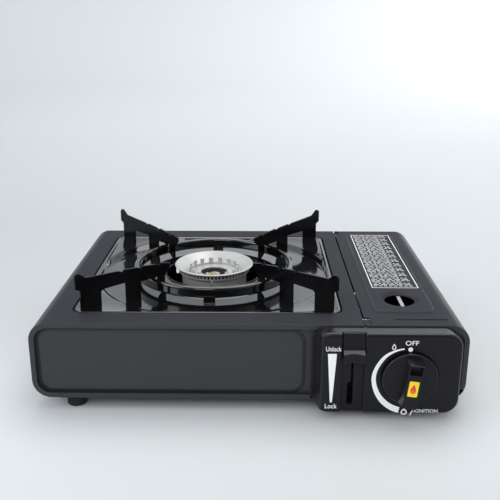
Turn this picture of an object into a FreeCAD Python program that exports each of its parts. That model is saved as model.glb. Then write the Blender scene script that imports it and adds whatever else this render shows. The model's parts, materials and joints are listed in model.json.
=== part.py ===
import FreeCAD, Part
import math
import os
import re

import Sketcher

# Butane cassette stove, in millimetres, standing on its feet with +Z up and the
# controls facing -Y. The origin is the middle of the whole object's footprint.

Vector = FreeCAD.Vector
doc = FreeCAD.newDocument("cassette_stove")
sheet = doc.addObject("Spreadsheet::Sheet", "Dims")

# Driving dimensions, each written once. Distances are measured from the middle
# of the casing, and heights from the ground, where no comment says otherwise.
DIMENSIONS = {
    "casing": {
        "case_width": 343.0,
        "case_depth": 258.0,
        "case_height": 64.2,
        "case_corner": 15.0,
        "sheet_wall": 0.8,
        "seam_gap": 0.3,
        "hem_width": 3.4,
        "hem_round": 0.6,
        "overrun": 1.0,
        "wrap_tuck": 22.0,
    },
    # foot_x is taken inwards from the casing's sides.
    "feet": {
        "foot_height": 10.3,
        "foot_radius": 7.75,
        "foot_x": 32.0,
        "foot_y": 117.5,
        "foot_recess_radius": 4.2,
        "foot_recess_depth": 5.0,
        "foot_taper": 1.0,
    },
    "fasteners": {
        "screw_radius": 1.5,
        "screw_clearance": 0.1,
        "screw_head_radius": 2.9,
        "screw_head_height": 1.7,
        "screw_reach": 3.0,
        "case_screw_left": -104.0,
        "case_screw_middle": 12.0,
        "case_screw_right": 112.0,
    },
    "tray well": {
        "burner_x": -33.6,
        "well_width": 219.0,
        "well_depth": 214.6,
        "well_corner": 10.5,
        "well_drop": 7.6,
        "ledge_width": 7.0,
    },
    # field_left is taken from the left side, and field_high down from the roof.
    "front and rear panels": {
        "panel_inset": 3.5,
        "panel_flange": 9.0,
        "field_left": 4.5,
        "field_right": 45.6,
        "field_low": 14.0,
        "field_high": 3.5,
        "field_corner": 12.0,
        "field_rise": 1.5,
        "field_bevel": 3.6,
        "vent_left": -120.0,
        "vent_pitch": 18.0,
        "vent_count": 9,
        "vent_width": 3.2,
        "vent_height": 22.0,
        "vent_low": 26.0,
    },
    "floor": {
        "floor_end": 19.2,
        "floor_vent_x": -84.0,
        "floor_vent_pitch": 14.0,
        "floor_vent_count": 7,
        "floor_vent_width": 4.0,
        "floor_vent_length": 44.0,
        "floor_vent_y": -62.0,
    },
    # stop_high is taken down from the roof.
    "canister bay": {
        "bay_x": 125.0,
        "bay_z": 41.5,
        "cradle_radius": 34.3,
        "cradle_front": -67.5,
        "cradle_length": 175.0,
        "cradle_flange": 26.0,
        "cradle_gap": 0.5,
        "wall_x": 87.6,
        "wall_flange": 9.0,
        "stop_half_width": 32.5,
        "stop_low": 14.0,
        "stop_high": 4.2,
        "notch_tab_width": 8.0,
        "notch_tab_length": 8.0,
        "notch_tab_rise": 21.0,
    },
    # tuck_drop is taken down from the roof.
    "control panel": {
        "flange_left": 49.6,
        "island_left": 50.5,
        "island_slope": 6.0,
        "island_right": 71.4,
        "channel_right": 89.2,
        "panel_right": 163.0,
        "panel_low": 6.2,
        "panel_high": 73.2,
        "panel_corner": 12.0,
        "panel_rise": 17.5,
        "panel_flange_rise": 5.5,
        "panel_bevel": 2.6,
        "panel_wall": 2.2,
        "tuck_drop": 5.1,
        "channel_depth": 4.0,
        "channel_round": 0.8,
        "slot_width": 1.9,
        "slot_low": 12.0,
        "slot_high": 61.0,
        "slot_step": 2.6,
        "slot_step_high": 31.0,
        "backing_slot_width": 5.0,
    },
    "knob": {
        "knob_x": 123.6,
        "knob_z": 37.2,
        "knob_radius": 21.3,
        "knob_gap": 0.6,
        "knob_thickness": 3.6,
        "knob_round": 1.2,
        "knob_tilt": 7.0,
        "knob_ring": 1.1,
        "grip_width": 11.2,
        "grip_foot": 13.8,
        "grip_rise": 11.5,
        "grip_slope": 0.5,
        "grip_top": 17.4,
        "grip_tail": 18.4,
        "grip_recess_start": 9.6,
        "grip_recess_end": 16.8,
        "grip_recess_width": 8.8,
        "grip_recess_depth": 6.0,
        "hub_radius": 5.5,
        "hub_length": 5.0,
        "hub_hole_radius": 6.6,
        "sticker_width": 7.4,
        "sticker_height": 12.6,
        "sticker_drop": 1.4,
        "sticker_thickness": 0.3,
        "spindle_radius": 3.0,
        "shaft_clearance": 0.06,
        "spindle_front_cover": 2.5,
        "spindle_back": 104.0,
        "cam_radius": 8.0,
        "cam_reach": 18.0,
        "cam_thickness": 3.0,
        "cam_width": 6.0,
        "cam_angle": 40.0,
    },
    "gas valve": {
        "valve_left": 104.0,
        "valve_right": 146.0,
        "valve_low": 20.2,
        "valve_high": 56.2,
        "valve_front": 114.0,
        "valve_back": 84.0,
        "valve_round": 3.0,
        "standoff_radius": 4.0,
        "standoff_low_x": 141.6,
        "standoff_high_x": 108.2,
        "standoff_low_z": 23.8,
        "standoff_high_z": 34.2,
        "regulator_y": -101.0,
        "regulator_z": 36.5,
        "regulator_radius": 13.5,
        "regulator_flange_radius": 15.5,
        "regulator_flange": 2.0,
        "regulator_depth": 8.0,
        "regulator_screw_count": 4,
        "regulator_screw_circle": 13.0,
        "regulator_screw_radius": 1.0,
        "regulator_screw_head": 1.5,
        "port_radius": 8.0,
        "port_length": 7.5,
        "port_depth": 6.0,
        "port_bore": 2.2,
        "port_seat_radius": 5.0,
        "port_seat_depth": 2.0,
        "seal_bore": 2.5,
        "seal_thickness": 1.6,
    },
    "gas line": {
        "outlet_y": -90.0,
        "outlet_z": 52.0,
        "gas_tube_radius": 2.5,
        "gas_tube_wall": 0.7,
        "gas_bend_x": 66.0,
        "gas_bend_radius": 14.0,
        "gas_tube_reach": 13.0,
        "gas_hole_radius": 4.5,
        "jet_radius": 4.2,
        "jet_length": 8.0,
        "jet_tip_length": 4.0,
        "jet_tip_radius": 1.8,
        "jet_bore": 0.5,
        "mixer_start": 27.5,
        "mixer_bell_radius": 9.5,
        "mixer_bell_length": 9.0,
        "mixer_throat_radius": 6.2,
        "mixer_throat_length": 14.0,
        "mixer_radius": 7.6,
        "mixer_cone_length": 22.0,
        "mixer_wall": 1.1,
        "mixer_entry": 1.2,
    },
    "burner": {
        "burner_seat": 44.0,
        "burner_radius": 30.0,
        "burner_wall": 1.6,
        "burner_floor": 3.0,
        "burner_rim": 74.5,
        "post_radius": 6.0,
        "post_top": 67.6,
        "head_foot_radius": 32.8,
        "head_radius": 36.4,
        "head_edge": 79.0,
        "head_top": 81.2,
        "head_lip": 1.6,
        "head_plate": 72.6,
        "head_plate_radius": 24.4,
        "head_hole_radius": 12.5,
        "head_wall": 1.3,
        "flame_slot_count": 62,
        "flame_slot_width": 1.7,
        "flame_slot_height": 2.5,
        "flame_slot_low": 75.7,
        "flame_slot_depth": 1.0,
        "crown_radius": 23.2,
        "crown_wall": 1.3,
        "crown_height": 6.0,
        "crown_count": 16,
        "crown_slot": 5.2,
        "crown_slot_height": 4.6,
        "centre_screw_radius": 4.6,
        "centre_screw_height": 3.0,
        "centre_screw_slot": 1.0,
        "centre_screw_shank": 2.0,
        "centre_screw_reach": 8.0,
        "bracket_half_width": 26.0,
        "bracket_depth": 40.0,
        "bracket_foot": 12.0,
        "bracket_wall": 1.2,
        "burner_screw_x": 16.0,
        "burner_screw_y": -12.0,
    },
    "igniter": {
        "igniter_left": 92.5,
        "igniter_right": 122.4,
        "igniter_low": 48.2,
        "igniter_high": 58.2,
        "igniter_front": 124.4,
        "igniter_back": 114.4,
        "plunger_radius": 2.6,
        "plunger_length": 6.0,
        "plunger_travel": 5.0,
        "plunger_bore": 2.7,
        "plunger_tail": 10.0,
        "wire_radius": 1.1,
        "wire_drop": 1.7,
        "wire_hole_radius": 2.2,
        "electrode_y": -38.6,
        "electrode_radius": 2.4,
        "electrode_low": 50.0,
        "electrode_high": 67.4,
        "tip_radius": 0.6,
        "tip_top": 77.4,
        "tip_lean": 1.6,
        "tip_bend": 4.0,
        "electrode_plate_z": 56.0,
        "electrode_plate_width": 13.0,
        "electrode_plate_front": 4.4,
    },
    "heat strip": {
        "strip_thickness": 1.2,
        "strip_y": 2.0,
        "strip_width": 26.0,
        "strip_high": 38.0,
        "strip_right": 103.0,
    },
    # lever_y is taken backwards from the casing's front edge.
    "lock lever": {
        "lever_x": 80.25,
        "lever_y": 59.0,
        "lever_z": 36.0,
        "lever_swing": 30.0,
        "lever_thickness": 1.2,
        "lever_half_height": 5.0,
        "lever_hub_radius": 8.0,
        "lever_reach": 76.0,
        "lever_arm": 20.0,
        "lever_arm_half_width": 4.5,
        "lever_play": 0.3,
        "pivot_radius": 2.5,
        "pivot_shoulder_radius": 4.4,
        "pivot_head": 1.4,
        "drive_pin_radius": 2.0,
        "drive_pin_end": 92.0,
        "cap_left": 72.3,
        "cap_right": 88.6,
        "cap_front": 78.4,
        "cap_lip_back": 73.8,
        "cap_back": 71.7,
        "cap_top_back": 70.0,
        "cap_top_front": 71.6,
        "cap_low": 15.0,
        "cap_lip_high": 21.6,
        "cap_lip_top": 24.2,
        "cap_high": 37.2,
        "cap_dish_radius": 24.0,
        "cap_dish_depth": 1.6,
        "cap_rib_count": 6,
        "cap_rib_width": 1.1,
        "cap_rib_depth": 0.8,
    },
    "canister carriage": {
        "carriage_play": 0.5,
        "carriage_wall": 1.0,
        "carriage_front": -76.5,
        "carriage_back": 117.0,
        "carriage_low": 49.5,
        "carriage_high": 62.0,
        "pusher_radius": 27.0,
        "pusher_right": 150.0,
        "guide_radius": 2.5,
        "guide_head_radius": 4.5,
        "guide_head": 0.8,
        "guide_front_y": -40.0,
        "guide_back_y": 78.0,
        "slide_clearance": 0.35,
        "carriage_travel": 10.35,
    },
    "lid": {
        "cover_edge": 89.6,
        "lid_edge": 91.0,
        "lid_low": 20.0,
        "lid_run_gap": 0.9,
        "pad_left": 101.0,
        "pad_right": 150.3,
        "pad_front": -103.0,
        "pad_back": 117.0,
        "pad_corner": 8.0,
        "pad_rise": 1.5,
        "peep_x": 125.4,
        "peep_y": -76.9,
        "peep_radius": 12.5,
        "peep_outer_radius": 17.5,
        "sight_strip_x": 126.4,
        "sight_strip_width": 3.0,
        "sight_strip_length": 28.0,
        "bead_left": 114.0,
        "bead_right": 156.0,
        "bead_y": -116.0,
        "bead_width": 3.6,
        "bead_rise": 0.7,
        "hinge_x": 93.0,
        "hinge_drop": 2.6,
        "hinge_pin_radius": 1.5,
        "hinge_notch_x": 95.3,
        "hinge_notch_inner": 113.8,
        "hinge_notch_outer": 127.7,
        "hinge_leaf": 1.2,
        "hinge_leaf_round": 2.5,
        "hinge_play": 0.5,
        "ear_right": 99.0,
    },
    # Heights of the drip tray and the pan support are taken from the casing's top.
    "drip tray": {
        "tray_gap": 1.6,
        "tray_corner": 9.0,
        "tray_wall": 1.0,
        "tray_rim_width": 3.0,
        "tray_rim_rise": 0.6,
        "tray_rim_height": 1.8,
        "tray_sheet": 0.8,
        "tray_step_radius": 110.5,
        "tray_floor_radius": 104.0,
        "tray_floor": -5.0,
        "tray_plateau_radius": 62.0,
        "tray_plateau": -3.2,
        "tray_hole_radius": 44.0,
        "tray_collar": -1.3,
        "tray_seat_gap": 0.3,
    },
    "pan support": {
        "arm_angle": 45.0,
        "arm_thickness": 1.8,
        "arm_inner": 53.0,
        "arm_inner_high": 19.0,
        "arm_outer": 148.0,
        "arm_leg_outer": 143.8,
        "arm_leg_inner": 124.5,
        "arm_shoulder": 16.5,
        "horn_high": 31.0,
        "horn_inner": 137.8,
        "horn_foot": 26.3,
        "notch_outer": 102.0,
        "notch_outer_high": 24.1,
        "notch_middle": 83.3,
        "notch_middle_high": 22.8,
        "notch_inner": 63.8,
        "notch_inner_high": 21.1,
        "notch_half_width": 4.0,
        "notch_drop": 2.0,
        "window_outer_high": 12.5,
        "window_middle_high": 9.5,
        "window_round": 3.0,
        "mid_leg_outer": 99.7,
        "mid_leg_inner": 85.0,
        "inner_leg_outer": 66.0,
        "inner_leg_inner": 58.6,
        "ring_radius": 71.0,
        "ring_half_width": 2.6,
        "ring_low": -0.9,
        "ring_high": 8.7,
        "ring_round": 2.2,
        "ring_foot_width": 10.0,
        "ring_foot_wall": 1.6,
        "ring_clearance": 0.05,
    },
}

row = 0
for group, cells in DIMENSIONS.items():
    row += 1
    sheet.set("A%d" % row, group)
    for alias, size in cells.items():
        row += 1
        sheet.set("A%d" % row, alias)
        sheet.set("B%d" % row, str(size))
        sheet.setAlias("B%d" % row, alias)
doc.recompute()

# Places worked out from the sheet, written in the sheet's own words.
CASE_TOP = "(foot_height + case_height)"
ROOF = "(foot_height + case_height - sheet_wall)"
FLOOR = "(foot_height + sheet_wall)"
HALF_WIDTH = "(case_width / 2)"
HALF_DEPTH = "(case_depth / 2)"
PANEL_FACE = "(case_depth / 2 - panel_inset)"
PANEL_BACK = "(case_depth / 2 - panel_inset - sheet_wall)"
CONTROL_FACE = "(case_depth / 2 - panel_inset + panel_rise)"
KNOB_BACK = "(case_depth / 2 - panel_inset + panel_rise + knob_gap)"
KNOB_FACE = f"({KNOB_BACK} + knob_thickness)"
GRIP_FACE = f"({KNOB_FACE} + grip_rise)"
FRONT_REACH = f"({GRIP_FACE} + sticker_thickness)"
CASE_SHIFT = f"(({FRONT_REACH} - {HALF_DEPTH}) / 2)"
WALL_FACE = "(wall_x + sheet_wall)"
SHANK_HOLE = "(screw_radius + screw_clearance)"
HINGE_Z = f"({CASE_TOP} - hinge_drop)"
LEDGE_TOP = f"({CASE_TOP} - well_drop)"
FOOT_X = f"({HALF_WIDTH} - foot_x)"
LEVER_Y = f"(lever_y - {HALF_DEPTH})"
GAS_RUN = "sqrt((gas_bend_x - burner_x)^2 + outlet_y^2)"
GAS_TURN = "atan2(-outlet_y; burner_x - gas_bend_x)"
LEVER_REST = "(lever_swing / 2)"
PIN_REST_Y = f"({LEVER_Y} + lever_arm * sin({LEVER_REST}))"
PIN_REST_Z = f"(lever_z + lever_arm * cos({LEVER_REST}))"
CARRIAGE_X = f"({WALL_FACE} + carriage_play)"

FUNCTIONS = {"sqrt", "sin", "cos", "tan", "atan2"}
nodes = []


def ref(text):
    """Turn the sheet's words in a formula into references to its cells."""
    def cell(match):
        word = match.group(0)
        return word if word in FUNCTIONS else "Dims." + word
    return re.sub(r"[a-z_][a-z0-9_]*", cell, text)


def num(text):
    """Value of a formula in the sheet's words."""
    result = sheet.evalExpression(text)
    return float(getattr(result, "Value", result))


def bind(obj, **formulas):
    for name, text in formulas.items():
        obj.setExpression(name, ref(text))


def put(obj, x="0", y="0", z="0", axis=None, turn=None):
    """Place an object inside its own sub-part, turned about an axis if given."""
    if axis is not None:
        rotation = FreeCAD.Rotation(axis, num(turn))
        obj.Placement = FreeCAD.Placement(Vector(), rotation)
        obj.setExpression("Placement.Rotation.Angle", ref(turn))
    obj.setExpression("Placement.Base.x", ref(x))
    obj.setExpression("Placement.Base.y", ref(y))
    obj.setExpression("Placement.Base.z", ref(z))


def node(obj, label, x="0", y="0", z="0", axis=None, turn=None):
    """Name a finished sub-part and place it from the middle of the casing."""
    obj.Label = label
    put(obj, x, f"{y} + {CASE_SHIFT}", z, axis, turn)
    nodes.append(obj)
    return obj


# Part primitives and booleans

def box(name, x0, x1, y0, y1, z0, z1):
    shape = doc.addObject("Part::Box", name)
    bind(shape, Length=f"{x1} - ({x0})", Width=f"{y1} - ({y0})", Height=f"{z1} - ({z0})")
    put(shape, x0, y0, z0)
    return shape


def rod(name, axis, radius, low, high, u, v):
    """Cylinder along one axis from low to high, at u and v on the other two."""
    shape = doc.addObject("Part::Cylinder", name)
    bind(shape, Radius=radius, Height=f"{high} - ({low})")
    if axis == "X":
        shape.Placement.Rotation = FreeCAD.Rotation(Vector(0, 1, 0), 90)
        put(shape, low, u, v)
    elif axis == "Y":
        shape.Placement.Rotation = FreeCAD.Rotation(Vector(1, 0, 0), -90)
        put(shape, u, low, v)
    else:
        put(shape, u, v, low)
    return shape


def cone(name, axis, radius_low, radius_high, low, high, u, v):
    shape = doc.addObject("Part::Cone", name)
    bind(shape, Radius1=radius_low, Radius2=radius_high, Height=f"{high} - ({low})")
    if axis == "X":
        shape.Placement.Rotation = FreeCAD.Rotation(Vector(0, 1, 0), 90)
        put(shape, low, u, v)
    elif axis == "Y":
        shape.Placement.Rotation = FreeCAD.Rotation(Vector(1, 0, 0), -90)
        put(shape, u, low, v)
    else:
        put(shape, u, v, low)
    return shape


def fuse(name, shapes):
    union = doc.addObject("Part::MultiFuse", name)
    union.Shapes = shapes
    union.Refine = True
    return union


def cut(name, base, tools):
    result = doc.addObject("Part::Cut", name)
    result.Base = base
    result.Tool = tools[0] if len(tools) == 1 else fuse(name + "_tools", tools)
    return result


def common(name, first, second):
    result = doc.addObject("Part::MultiCommon", name)
    result.Shapes = [first, second]
    return result


def group(name, shapes):
    """Identical pieces kept as separate solids in one sub-part."""
    bundle = doc.addObject("Part::Compound", name)
    bundle.Links = shapes
    return bundle


def rounded(name, base, radius, chosen):
    """Fillet the edges of a primitive or boolean that a test picks out."""
    doc.recompute()
    fillet = doc.addObject("Part::Fillet", name)
    fillet.Base = base
    size = num(radius)
    fillet.Edges = [
        (i + 1, size, size) for i, edge in enumerate(base.Shape.Edges) if chosen(edge)
    ]
    return fillet


# PartDesign bodies

def body(name):
    return doc.addObject("PartDesign::Body", name)


def origin(owner, role):
    return [item for item in owner.Origin.OriginFeatures if item.Role == role][0]


def sketch(owner, role, name, away="0"):
    """Sketch on a plane of the body, moved away along the plane's normal.

    The normals are +Z for XY_Plane, -Y for XZ_Plane and +X for YZ_Plane."""
    drawing = owner.newObject("Sketcher::SketchObject", name)
    drawing.AttachmentSupport = [(origin(owner, role), "")]
    drawing.MapMode = "FlatFace"
    drawing.setExpression("AttachmentOffset.Base.z", ref(away))
    return drawing


def fix(drawing, kind, place, text):
    """Add one dimension from the sketch's own zero and bind it to the sheet."""
    index = drawing.addConstraint(
        Sketcher.Constraint(kind, -1, 1, place[0], place[1], num(text)))
    drawing.setExpression("Constraints[%d]" % index, ref(text))


def draw_circle(drawing, x, y, radius):
    centre = Vector(num(x), num(y), 0)
    circle = Part.Circle(centre, Vector(0, 0, 1), num(radius))
    index = drawing.addGeometry(circle, False)
    fix(drawing, "DistanceX", (index, 3), x)
    fix(drawing, "DistanceY", (index, 3), y)
    size = drawing.addConstraint(Sketcher.Constraint("Radius", index, num(radius)))
    drawing.setExpression("Constraints[%d]" % size, ref(radius))


def draw_polygon(drawing, corners):
    points = [Vector(num(x), num(y), 0) for x, y in corners]
    count = len(points)
    first = drawing.GeometryCount
    for i in range(count):
        drawing.addGeometry(Part.LineSegment(points[i], points[(i + 1) % count]), False)
    for i in range(count):
        following = first + (i + 1) % count
        drawing.addConstraint(Sketcher.Constraint("Coincident", first + i, 2, following, 1))
    for i, (x, y) in enumerate(corners):
        fix(drawing, "DistanceX", (first + i, 1), x)
        fix(drawing, "DistanceY", (first + i, 1), y)


def draw_rectangle(drawing, x0, x1, y0, y1):
    draw_polygon(drawing, [(x0, y0), (x1, y0), (x1, y1), (x0, y1)])


def draw_rounded(drawing, x0, x1, y0, y1, radius):
    """Rectangle with four equal round corners, each side bound by its place."""
    left, right, low, high, r = (num(text) for text in (x0, x1, y0, y1, radius))
    ends = [
        (left + r, low), (right - r, low), (right, low + r), (right, high - r),
        (right - r, high), (left + r, high), (left, high - r), (left, low + r),
    ]
    centres = [(right - r, low + r), (right - r, high - r), (left + r, high - r), (left + r, low + r)]
    first = drawing.GeometryCount
    for i in range(4):
        start, stop = ends[2 * i], ends[2 * i + 1]
        drawing.addGeometry(Part.LineSegment(Vector(*start, 0), Vector(*stop, 0)), False)
        circle = Part.Circle(Vector(*centres[i], 0), Vector(0, 0, 1), r)
        turn = (i - 1) * math.pi / 2
        drawing.addGeometry(Part.ArcOfCircle(circle, turn, turn + math.pi / 2), False)
    for i in range(4):
        line = first + 2 * i
        following = first + (2 * i + 2) % 8
        drawing.addConstraint(Sketcher.Constraint("Tangent", line, 2, line + 1, 1))
        drawing.addConstraint(Sketcher.Constraint("Tangent", line + 1, 2, following, 1))
        kind = "Horizontal" if i % 2 == 0 else "Vertical"
        drawing.addConstraint(Sketcher.Constraint(kind, line))
        if i:
            drawing.addConstraint(Sketcher.Constraint("Equal", first + 1, line + 1))
    size = drawing.addConstraint(Sketcher.Constraint("Radius", first + 1, r))
    drawing.setExpression("Constraints[%d]" % size, ref(radius))
    fix(drawing, "DistanceY", (first, 1), y0)
    fix(drawing, "DistanceX", (first + 2, 1), x1)
    fix(drawing, "DistanceY", (first + 4, 1), y1)
    fix(drawing, "DistanceX", (first + 6, 1), x0)


def pad(owner, drawing, length, flip=False, both=False):
    feature = owner.newObject("PartDesign::Pad", drawing.Name + "_pad")
    feature.Profile = drawing
    feature.setExpression("Length", ref(length))
    feature.Reversed = flip
    feature.Midplane = both
    drawing.Visibility = False
    return feature


def pocket(owner, drawing, length=None, flip=False, both=False):
    """Cut against the sketch's normal, or along it when flipped."""
    feature = owner.newObject("PartDesign::Pocket", drawing.Name + "_pocket")
    feature.Profile = drawing
    if length is None:
        feature.Type = "ThroughAll"
    else:
        feature.setExpression("Length", ref(length))
    feature.Reversed = flip
    feature.Midplane = both
    return feature


def revolve(owner, drawing, kind="Revolution", axis="V_Axis"):
    feature = owner.newObject("PartDesign::" + kind, drawing.Name + "_turned")
    feature.Profile = drawing
    feature.ReferenceAxis = (drawing, [axis])
    feature.Angle = 360
    return feature


def polar(owner, feature, role, count, angle="360"):
    pattern = owner.newObject("PartDesign::PolarPattern", feature.Name + "_ring")
    pattern.Originals = [feature]
    pattern.Axis = (origin(owner, role), [""])
    pattern.Angle = num(angle)
    pattern.setExpression("Occurrences", ref(count))
    owner.Tip = pattern
    return pattern


def linear(owner, feature, role, length, count):
    pattern = owner.newObject("PartDesign::LinearPattern", feature.Name + "_row")
    pattern.Originals = [feature]
    pattern.Direction = (origin(owner, role), [""])
    pattern.setExpression("Length", ref(length))
    pattern.setExpression("Occurrences", ref(count))
    owner.Tip = pattern
    return pattern


def dress(owner, kind, radius, chosen):
    """Fillet or chamfer the edges of the body's tip that a test picks out."""
    doc.recompute()
    base = owner.Tip
    edges = ["Edge%d" % (i + 1) for i, edge in enumerate(base.Shape.Edges) if chosen(edge)]
    feature = owner.newObject("PartDesign::" + kind, base.Name + "_" + kind.lower())
    feature.Base = (base, edges)
    feature.setExpression("Radius" if kind == "Fillet" else "Size", ref(radius))
    return feature


def at_level(edge, axis, level, slack=0.01):
    """Whether an edge lies wholly in the plane where axis is at level."""
    low = getattr(edge.BoundBox, axis + "Min")
    high = getattr(edge.BoundBox, axis + "Max")
    return abs(low - level) < slack and abs(high - level) < slack


def pipe(points, bends, radius, bore=None):
    """Round tube along straight runs joined by tangent arcs."""
    edges = []
    start = points[0]
    for i in range(1, len(points) - 1):
        corner = points[i]
        before = (points[i - 1] - corner).normalize()
        after = (points[i + 1] - corner).normalize()
        half = before.getAngle(after) / 2
        reach = bends[i - 1] / math.tan(half)
        first = corner + before * reach
        last = corner + after * reach
        middle = corner + (before + after).normalize() * (bends[i - 1] / math.sin(half) - bends[i - 1])
        edges.append(Part.LineSegment(start, first).toShape())
        edges.append(Part.Arc(first, middle, last).toShape())
        start = last
    edges.append(Part.LineSegment(start, points[-1]).toShape())
    spine = Part.Wire(edges)
    heading = points[1] - points[0]

    def tube(size):
        ring = Part.Wire([Part.Circle(points[0], heading, size).toShape()])
        return spine.makePipeShell([ring], True, False)

    solid = tube(radius)
    if bore is not None:
        solid = solid.cut(tube(bore))
    return solid, spine.Length


# Casing

def wrap_profile(owner, name):
    """Round-cornered sheet wrap, the full size of the casing seen from the front."""
    outer = sketch(owner, "XZ_Plane", name + "_outer")
    draw_rounded(outer, f"-{HALF_WIDTH}", HALF_WIDTH, "foot_height", CASE_TOP, "case_corner")
    pad(owner, outer, "case_depth", both=True)
    inner = sketch(owner, "XZ_Plane", name + "_inner")
    draw_rounded(
        inner, f"-{HALF_WIDTH} + sheet_wall", f"{HALF_WIDTH} - sheet_wall",
        FLOOR, ROOF, "case_corner - sheet_wall")
    pocket(owner, inner, both=True)


def hem(owner, name):
    """Flange turned inwards round the front and the rear edge of the wrap."""
    for side, away in (("front", f"{HALF_DEPTH} - sheet_wall"), ("rear", f"-{HALF_DEPTH}")):
        ring = sketch(owner, "XZ_Plane", f"{name}_{side}_hem", away)
        for inset in ("sheet_wall / 2", "(sheet_wall + hem_width)"):
            draw_rounded(
                ring, f"-{HALF_WIDTH} + {inset}", f"{HALF_WIDTH} - {inset}",
                f"foot_height + {inset}", f"{CASE_TOP} - {inset}", f"case_corner - {inset}")
        pad(owner, ring, "sheet_wall")


def round_hem(owner):
    """Round the outer crest of the hem."""
    half_depth = num(HALF_DEPTH)
    half_width = num(HALF_WIDTH)

    def crest(edge):
        bounds = edge.BoundBox
        outer = (abs(bounds.XMin + half_width), abs(bounds.XMax - half_width),
                 abs(bounds.ZMax - num(CASE_TOP)), abs(bounds.ZMin - num("foot_height")))
        return (at_level(edge, "Y", math.copysign(half_depth, bounds.YMin)) and min(outer) < 0.01
                and edge.Length > num("case_corner") - num("sheet_wall"))

    dress(owner, "Fillet", "hem_round", crest)


def trim(owner, name, x0, x1, z0, z1):
    """Cut everything in a window seen from the front."""
    window = sketch(owner, "XZ_Plane", name)
    draw_rectangle(window, x0, x1, z0, z1)
    return pocket(owner, window, both=True)


def make_top_cover():
    cover = body("cover")
    wrap_profile(cover, "cover")
    hem(cover, "cover")
    trim(cover, "cover_right", "cover_edge", f"{HALF_WIDTH} + case_corner", "0", f"{CASE_TOP} + foot_height")
    trim(cover, "cover_low", f"-{HALF_WIDTH} + wrap_tuck", "cover_edge + case_corner",
         "0", f"{FLOOR} + foot_height")
    round_hem(cover)
    half_x = "well_width / 2"
    half_y = "well_depth / 2"

    def well(name, grow, away):
        drawing = sketch(cover, "XY_Plane", name, away)
        draw_rounded(
            drawing, f"burner_x - {half_x} - ({grow})", f"burner_x + {half_x} + {grow}",
            f"-{half_y} - ({grow})", f"{half_y} + {grow}", f"well_corner + {grow}")
        return drawing

    pad(cover, well("well_block", "sheet_wall", f"{LEDGE_TOP} - sheet_wall"), "well_drop + sheet_wall")
    pocket(cover, well("well_opening", "0", CASE_TOP), "well_drop")
    pocket(cover, well("well_through", "-ledge_width", CASE_TOP), "well_drop + foot_height")
    notch = sketch(cover, "XY_Plane", "cover_notch", CASE_TOP)
    for side in ("-", ""):
        draw_rectangle(
            notch, "cover_edge - sheet_wall", "cover_edge + sheet_wall",
            f"{side}(hinge_notch_inner)", f"{side}(hinge_notch_outer)")
    pocket(cover, notch, "sheet_wall")
    node(cover, "top_cover")


def panel_outline(owner, name, away, shrink):
    drawing = sketch(owner, "XZ_Plane", name, away)
    draw_rounded(
        drawing, f"-{HALF_WIDTH} + sheet_wall + seam_gap + {shrink}",
        f"{HALF_WIDTH} - sheet_wall - lid_run_gap - ({shrink})",
        f"{FLOOR} + seam_gap + {shrink}", f"{ROOF} - seam_gap - ({shrink})",
        f"case_corner - sheet_wall - lid_run_gap - ({shrink})")
    return drawing


def case_screw_spots(side):
    inset = f"({PANEL_FACE} - panel_flange / 2)"
    for column in ("case_screw_left", "case_screw_middle", "case_screw_right"):
        yield column, f"{side}{inset}"


def make_front_panel():
    panel = body("front")
    pad(panel, panel_outline(panel, "front_outline", PANEL_FACE, "0"), "panel_flange", flip=True)
    pocket(panel, panel_outline(panel, "front_hollow", PANEL_BACK, "sheet_wall"), "panel_flange")
    left = f"(-{HALF_WIDTH} + field_left)"
    high = f"({ROOF} - field_high)"
    field = sketch(panel, "XZ_Plane", "front_field", PANEL_FACE)
    draw_rounded(field, left, "field_right", "field_low", high, "field_corner")
    lift = pad(panel, field, "field_rise")
    lift.setExpression("TaperAngle", ref("-atan2(field_bevel; field_rise)"))
    dent = sketch(panel, "XZ_Plane", "front_dent", PANEL_BACK)
    draw_rounded(
        dent, f"{left} + field_bevel", "field_right - field_bevel",
        "field_low + field_bevel", f"{high} - field_bevel", "field_corner - field_bevel")
    pocket(panel, dent, "field_rise", flip=True)
    holes = sketch(panel, "XZ_Plane", "front_holes")
    draw_circle(holes, "knob_x", "knob_z", "hub_hole_radius")
    draw_rectangle(
        holes, "lever_x - backing_slot_width / 2", "lever_x + backing_slot_width / 2",
        "slot_low + lever_play", "slot_high - lever_play")
    draw_circle(holes, "standoff_low_x", "standoff_low_z", SHANK_HOLE)
    draw_circle(holes, "standoff_high_x", "standoff_high_z", SHANK_HOLE)
    pocket(panel, holes, both=True)
    screws = sketch(panel, "XY_Plane", "front_screw_holes", f"{FLOOR} + seam_gap + sheet_wall")
    for x, y in case_screw_spots("-"):
        draw_circle(screws, x, y, SHANK_HOLE)
    pocket(panel, screws, "sheet_wall")
    node(panel, "front_panel")


def make_rear_panel():
    panel = body("rear")
    away = f"-{PANEL_FACE}"
    pad(panel, panel_outline(panel, "rear_outline", away, "0"), "panel_flange")
    hollow = panel_outline(panel, "rear_hollow", f"-{PANEL_BACK}", "sheet_wall")
    pocket(panel, hollow, "panel_flange", flip=True)
    vent = sketch(panel, "XZ_Plane", "rear_vent", away)
    draw_rounded(
        vent, "vent_left", "vent_left + vent_width", "vent_low", "vent_low + vent_height",
        "vent_width / 2 - sheet_wall / 10")
    slot = pocket(panel, vent, "sheet_wall", flip=True)
    linear(panel, slot, "X_Axis", "vent_pitch * (vent_count - 1)", "vent_count")
    screws = sketch(panel, "XY_Plane", "rear_screw_holes", f"{FLOOR} + seam_gap + sheet_wall")
    for x, y in case_screw_spots(""):
        draw_circle(screws, x, y, SHANK_HOLE)
    pocket(panel, screws, "sheet_wall")
    node(panel, "rear_panel")


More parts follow.
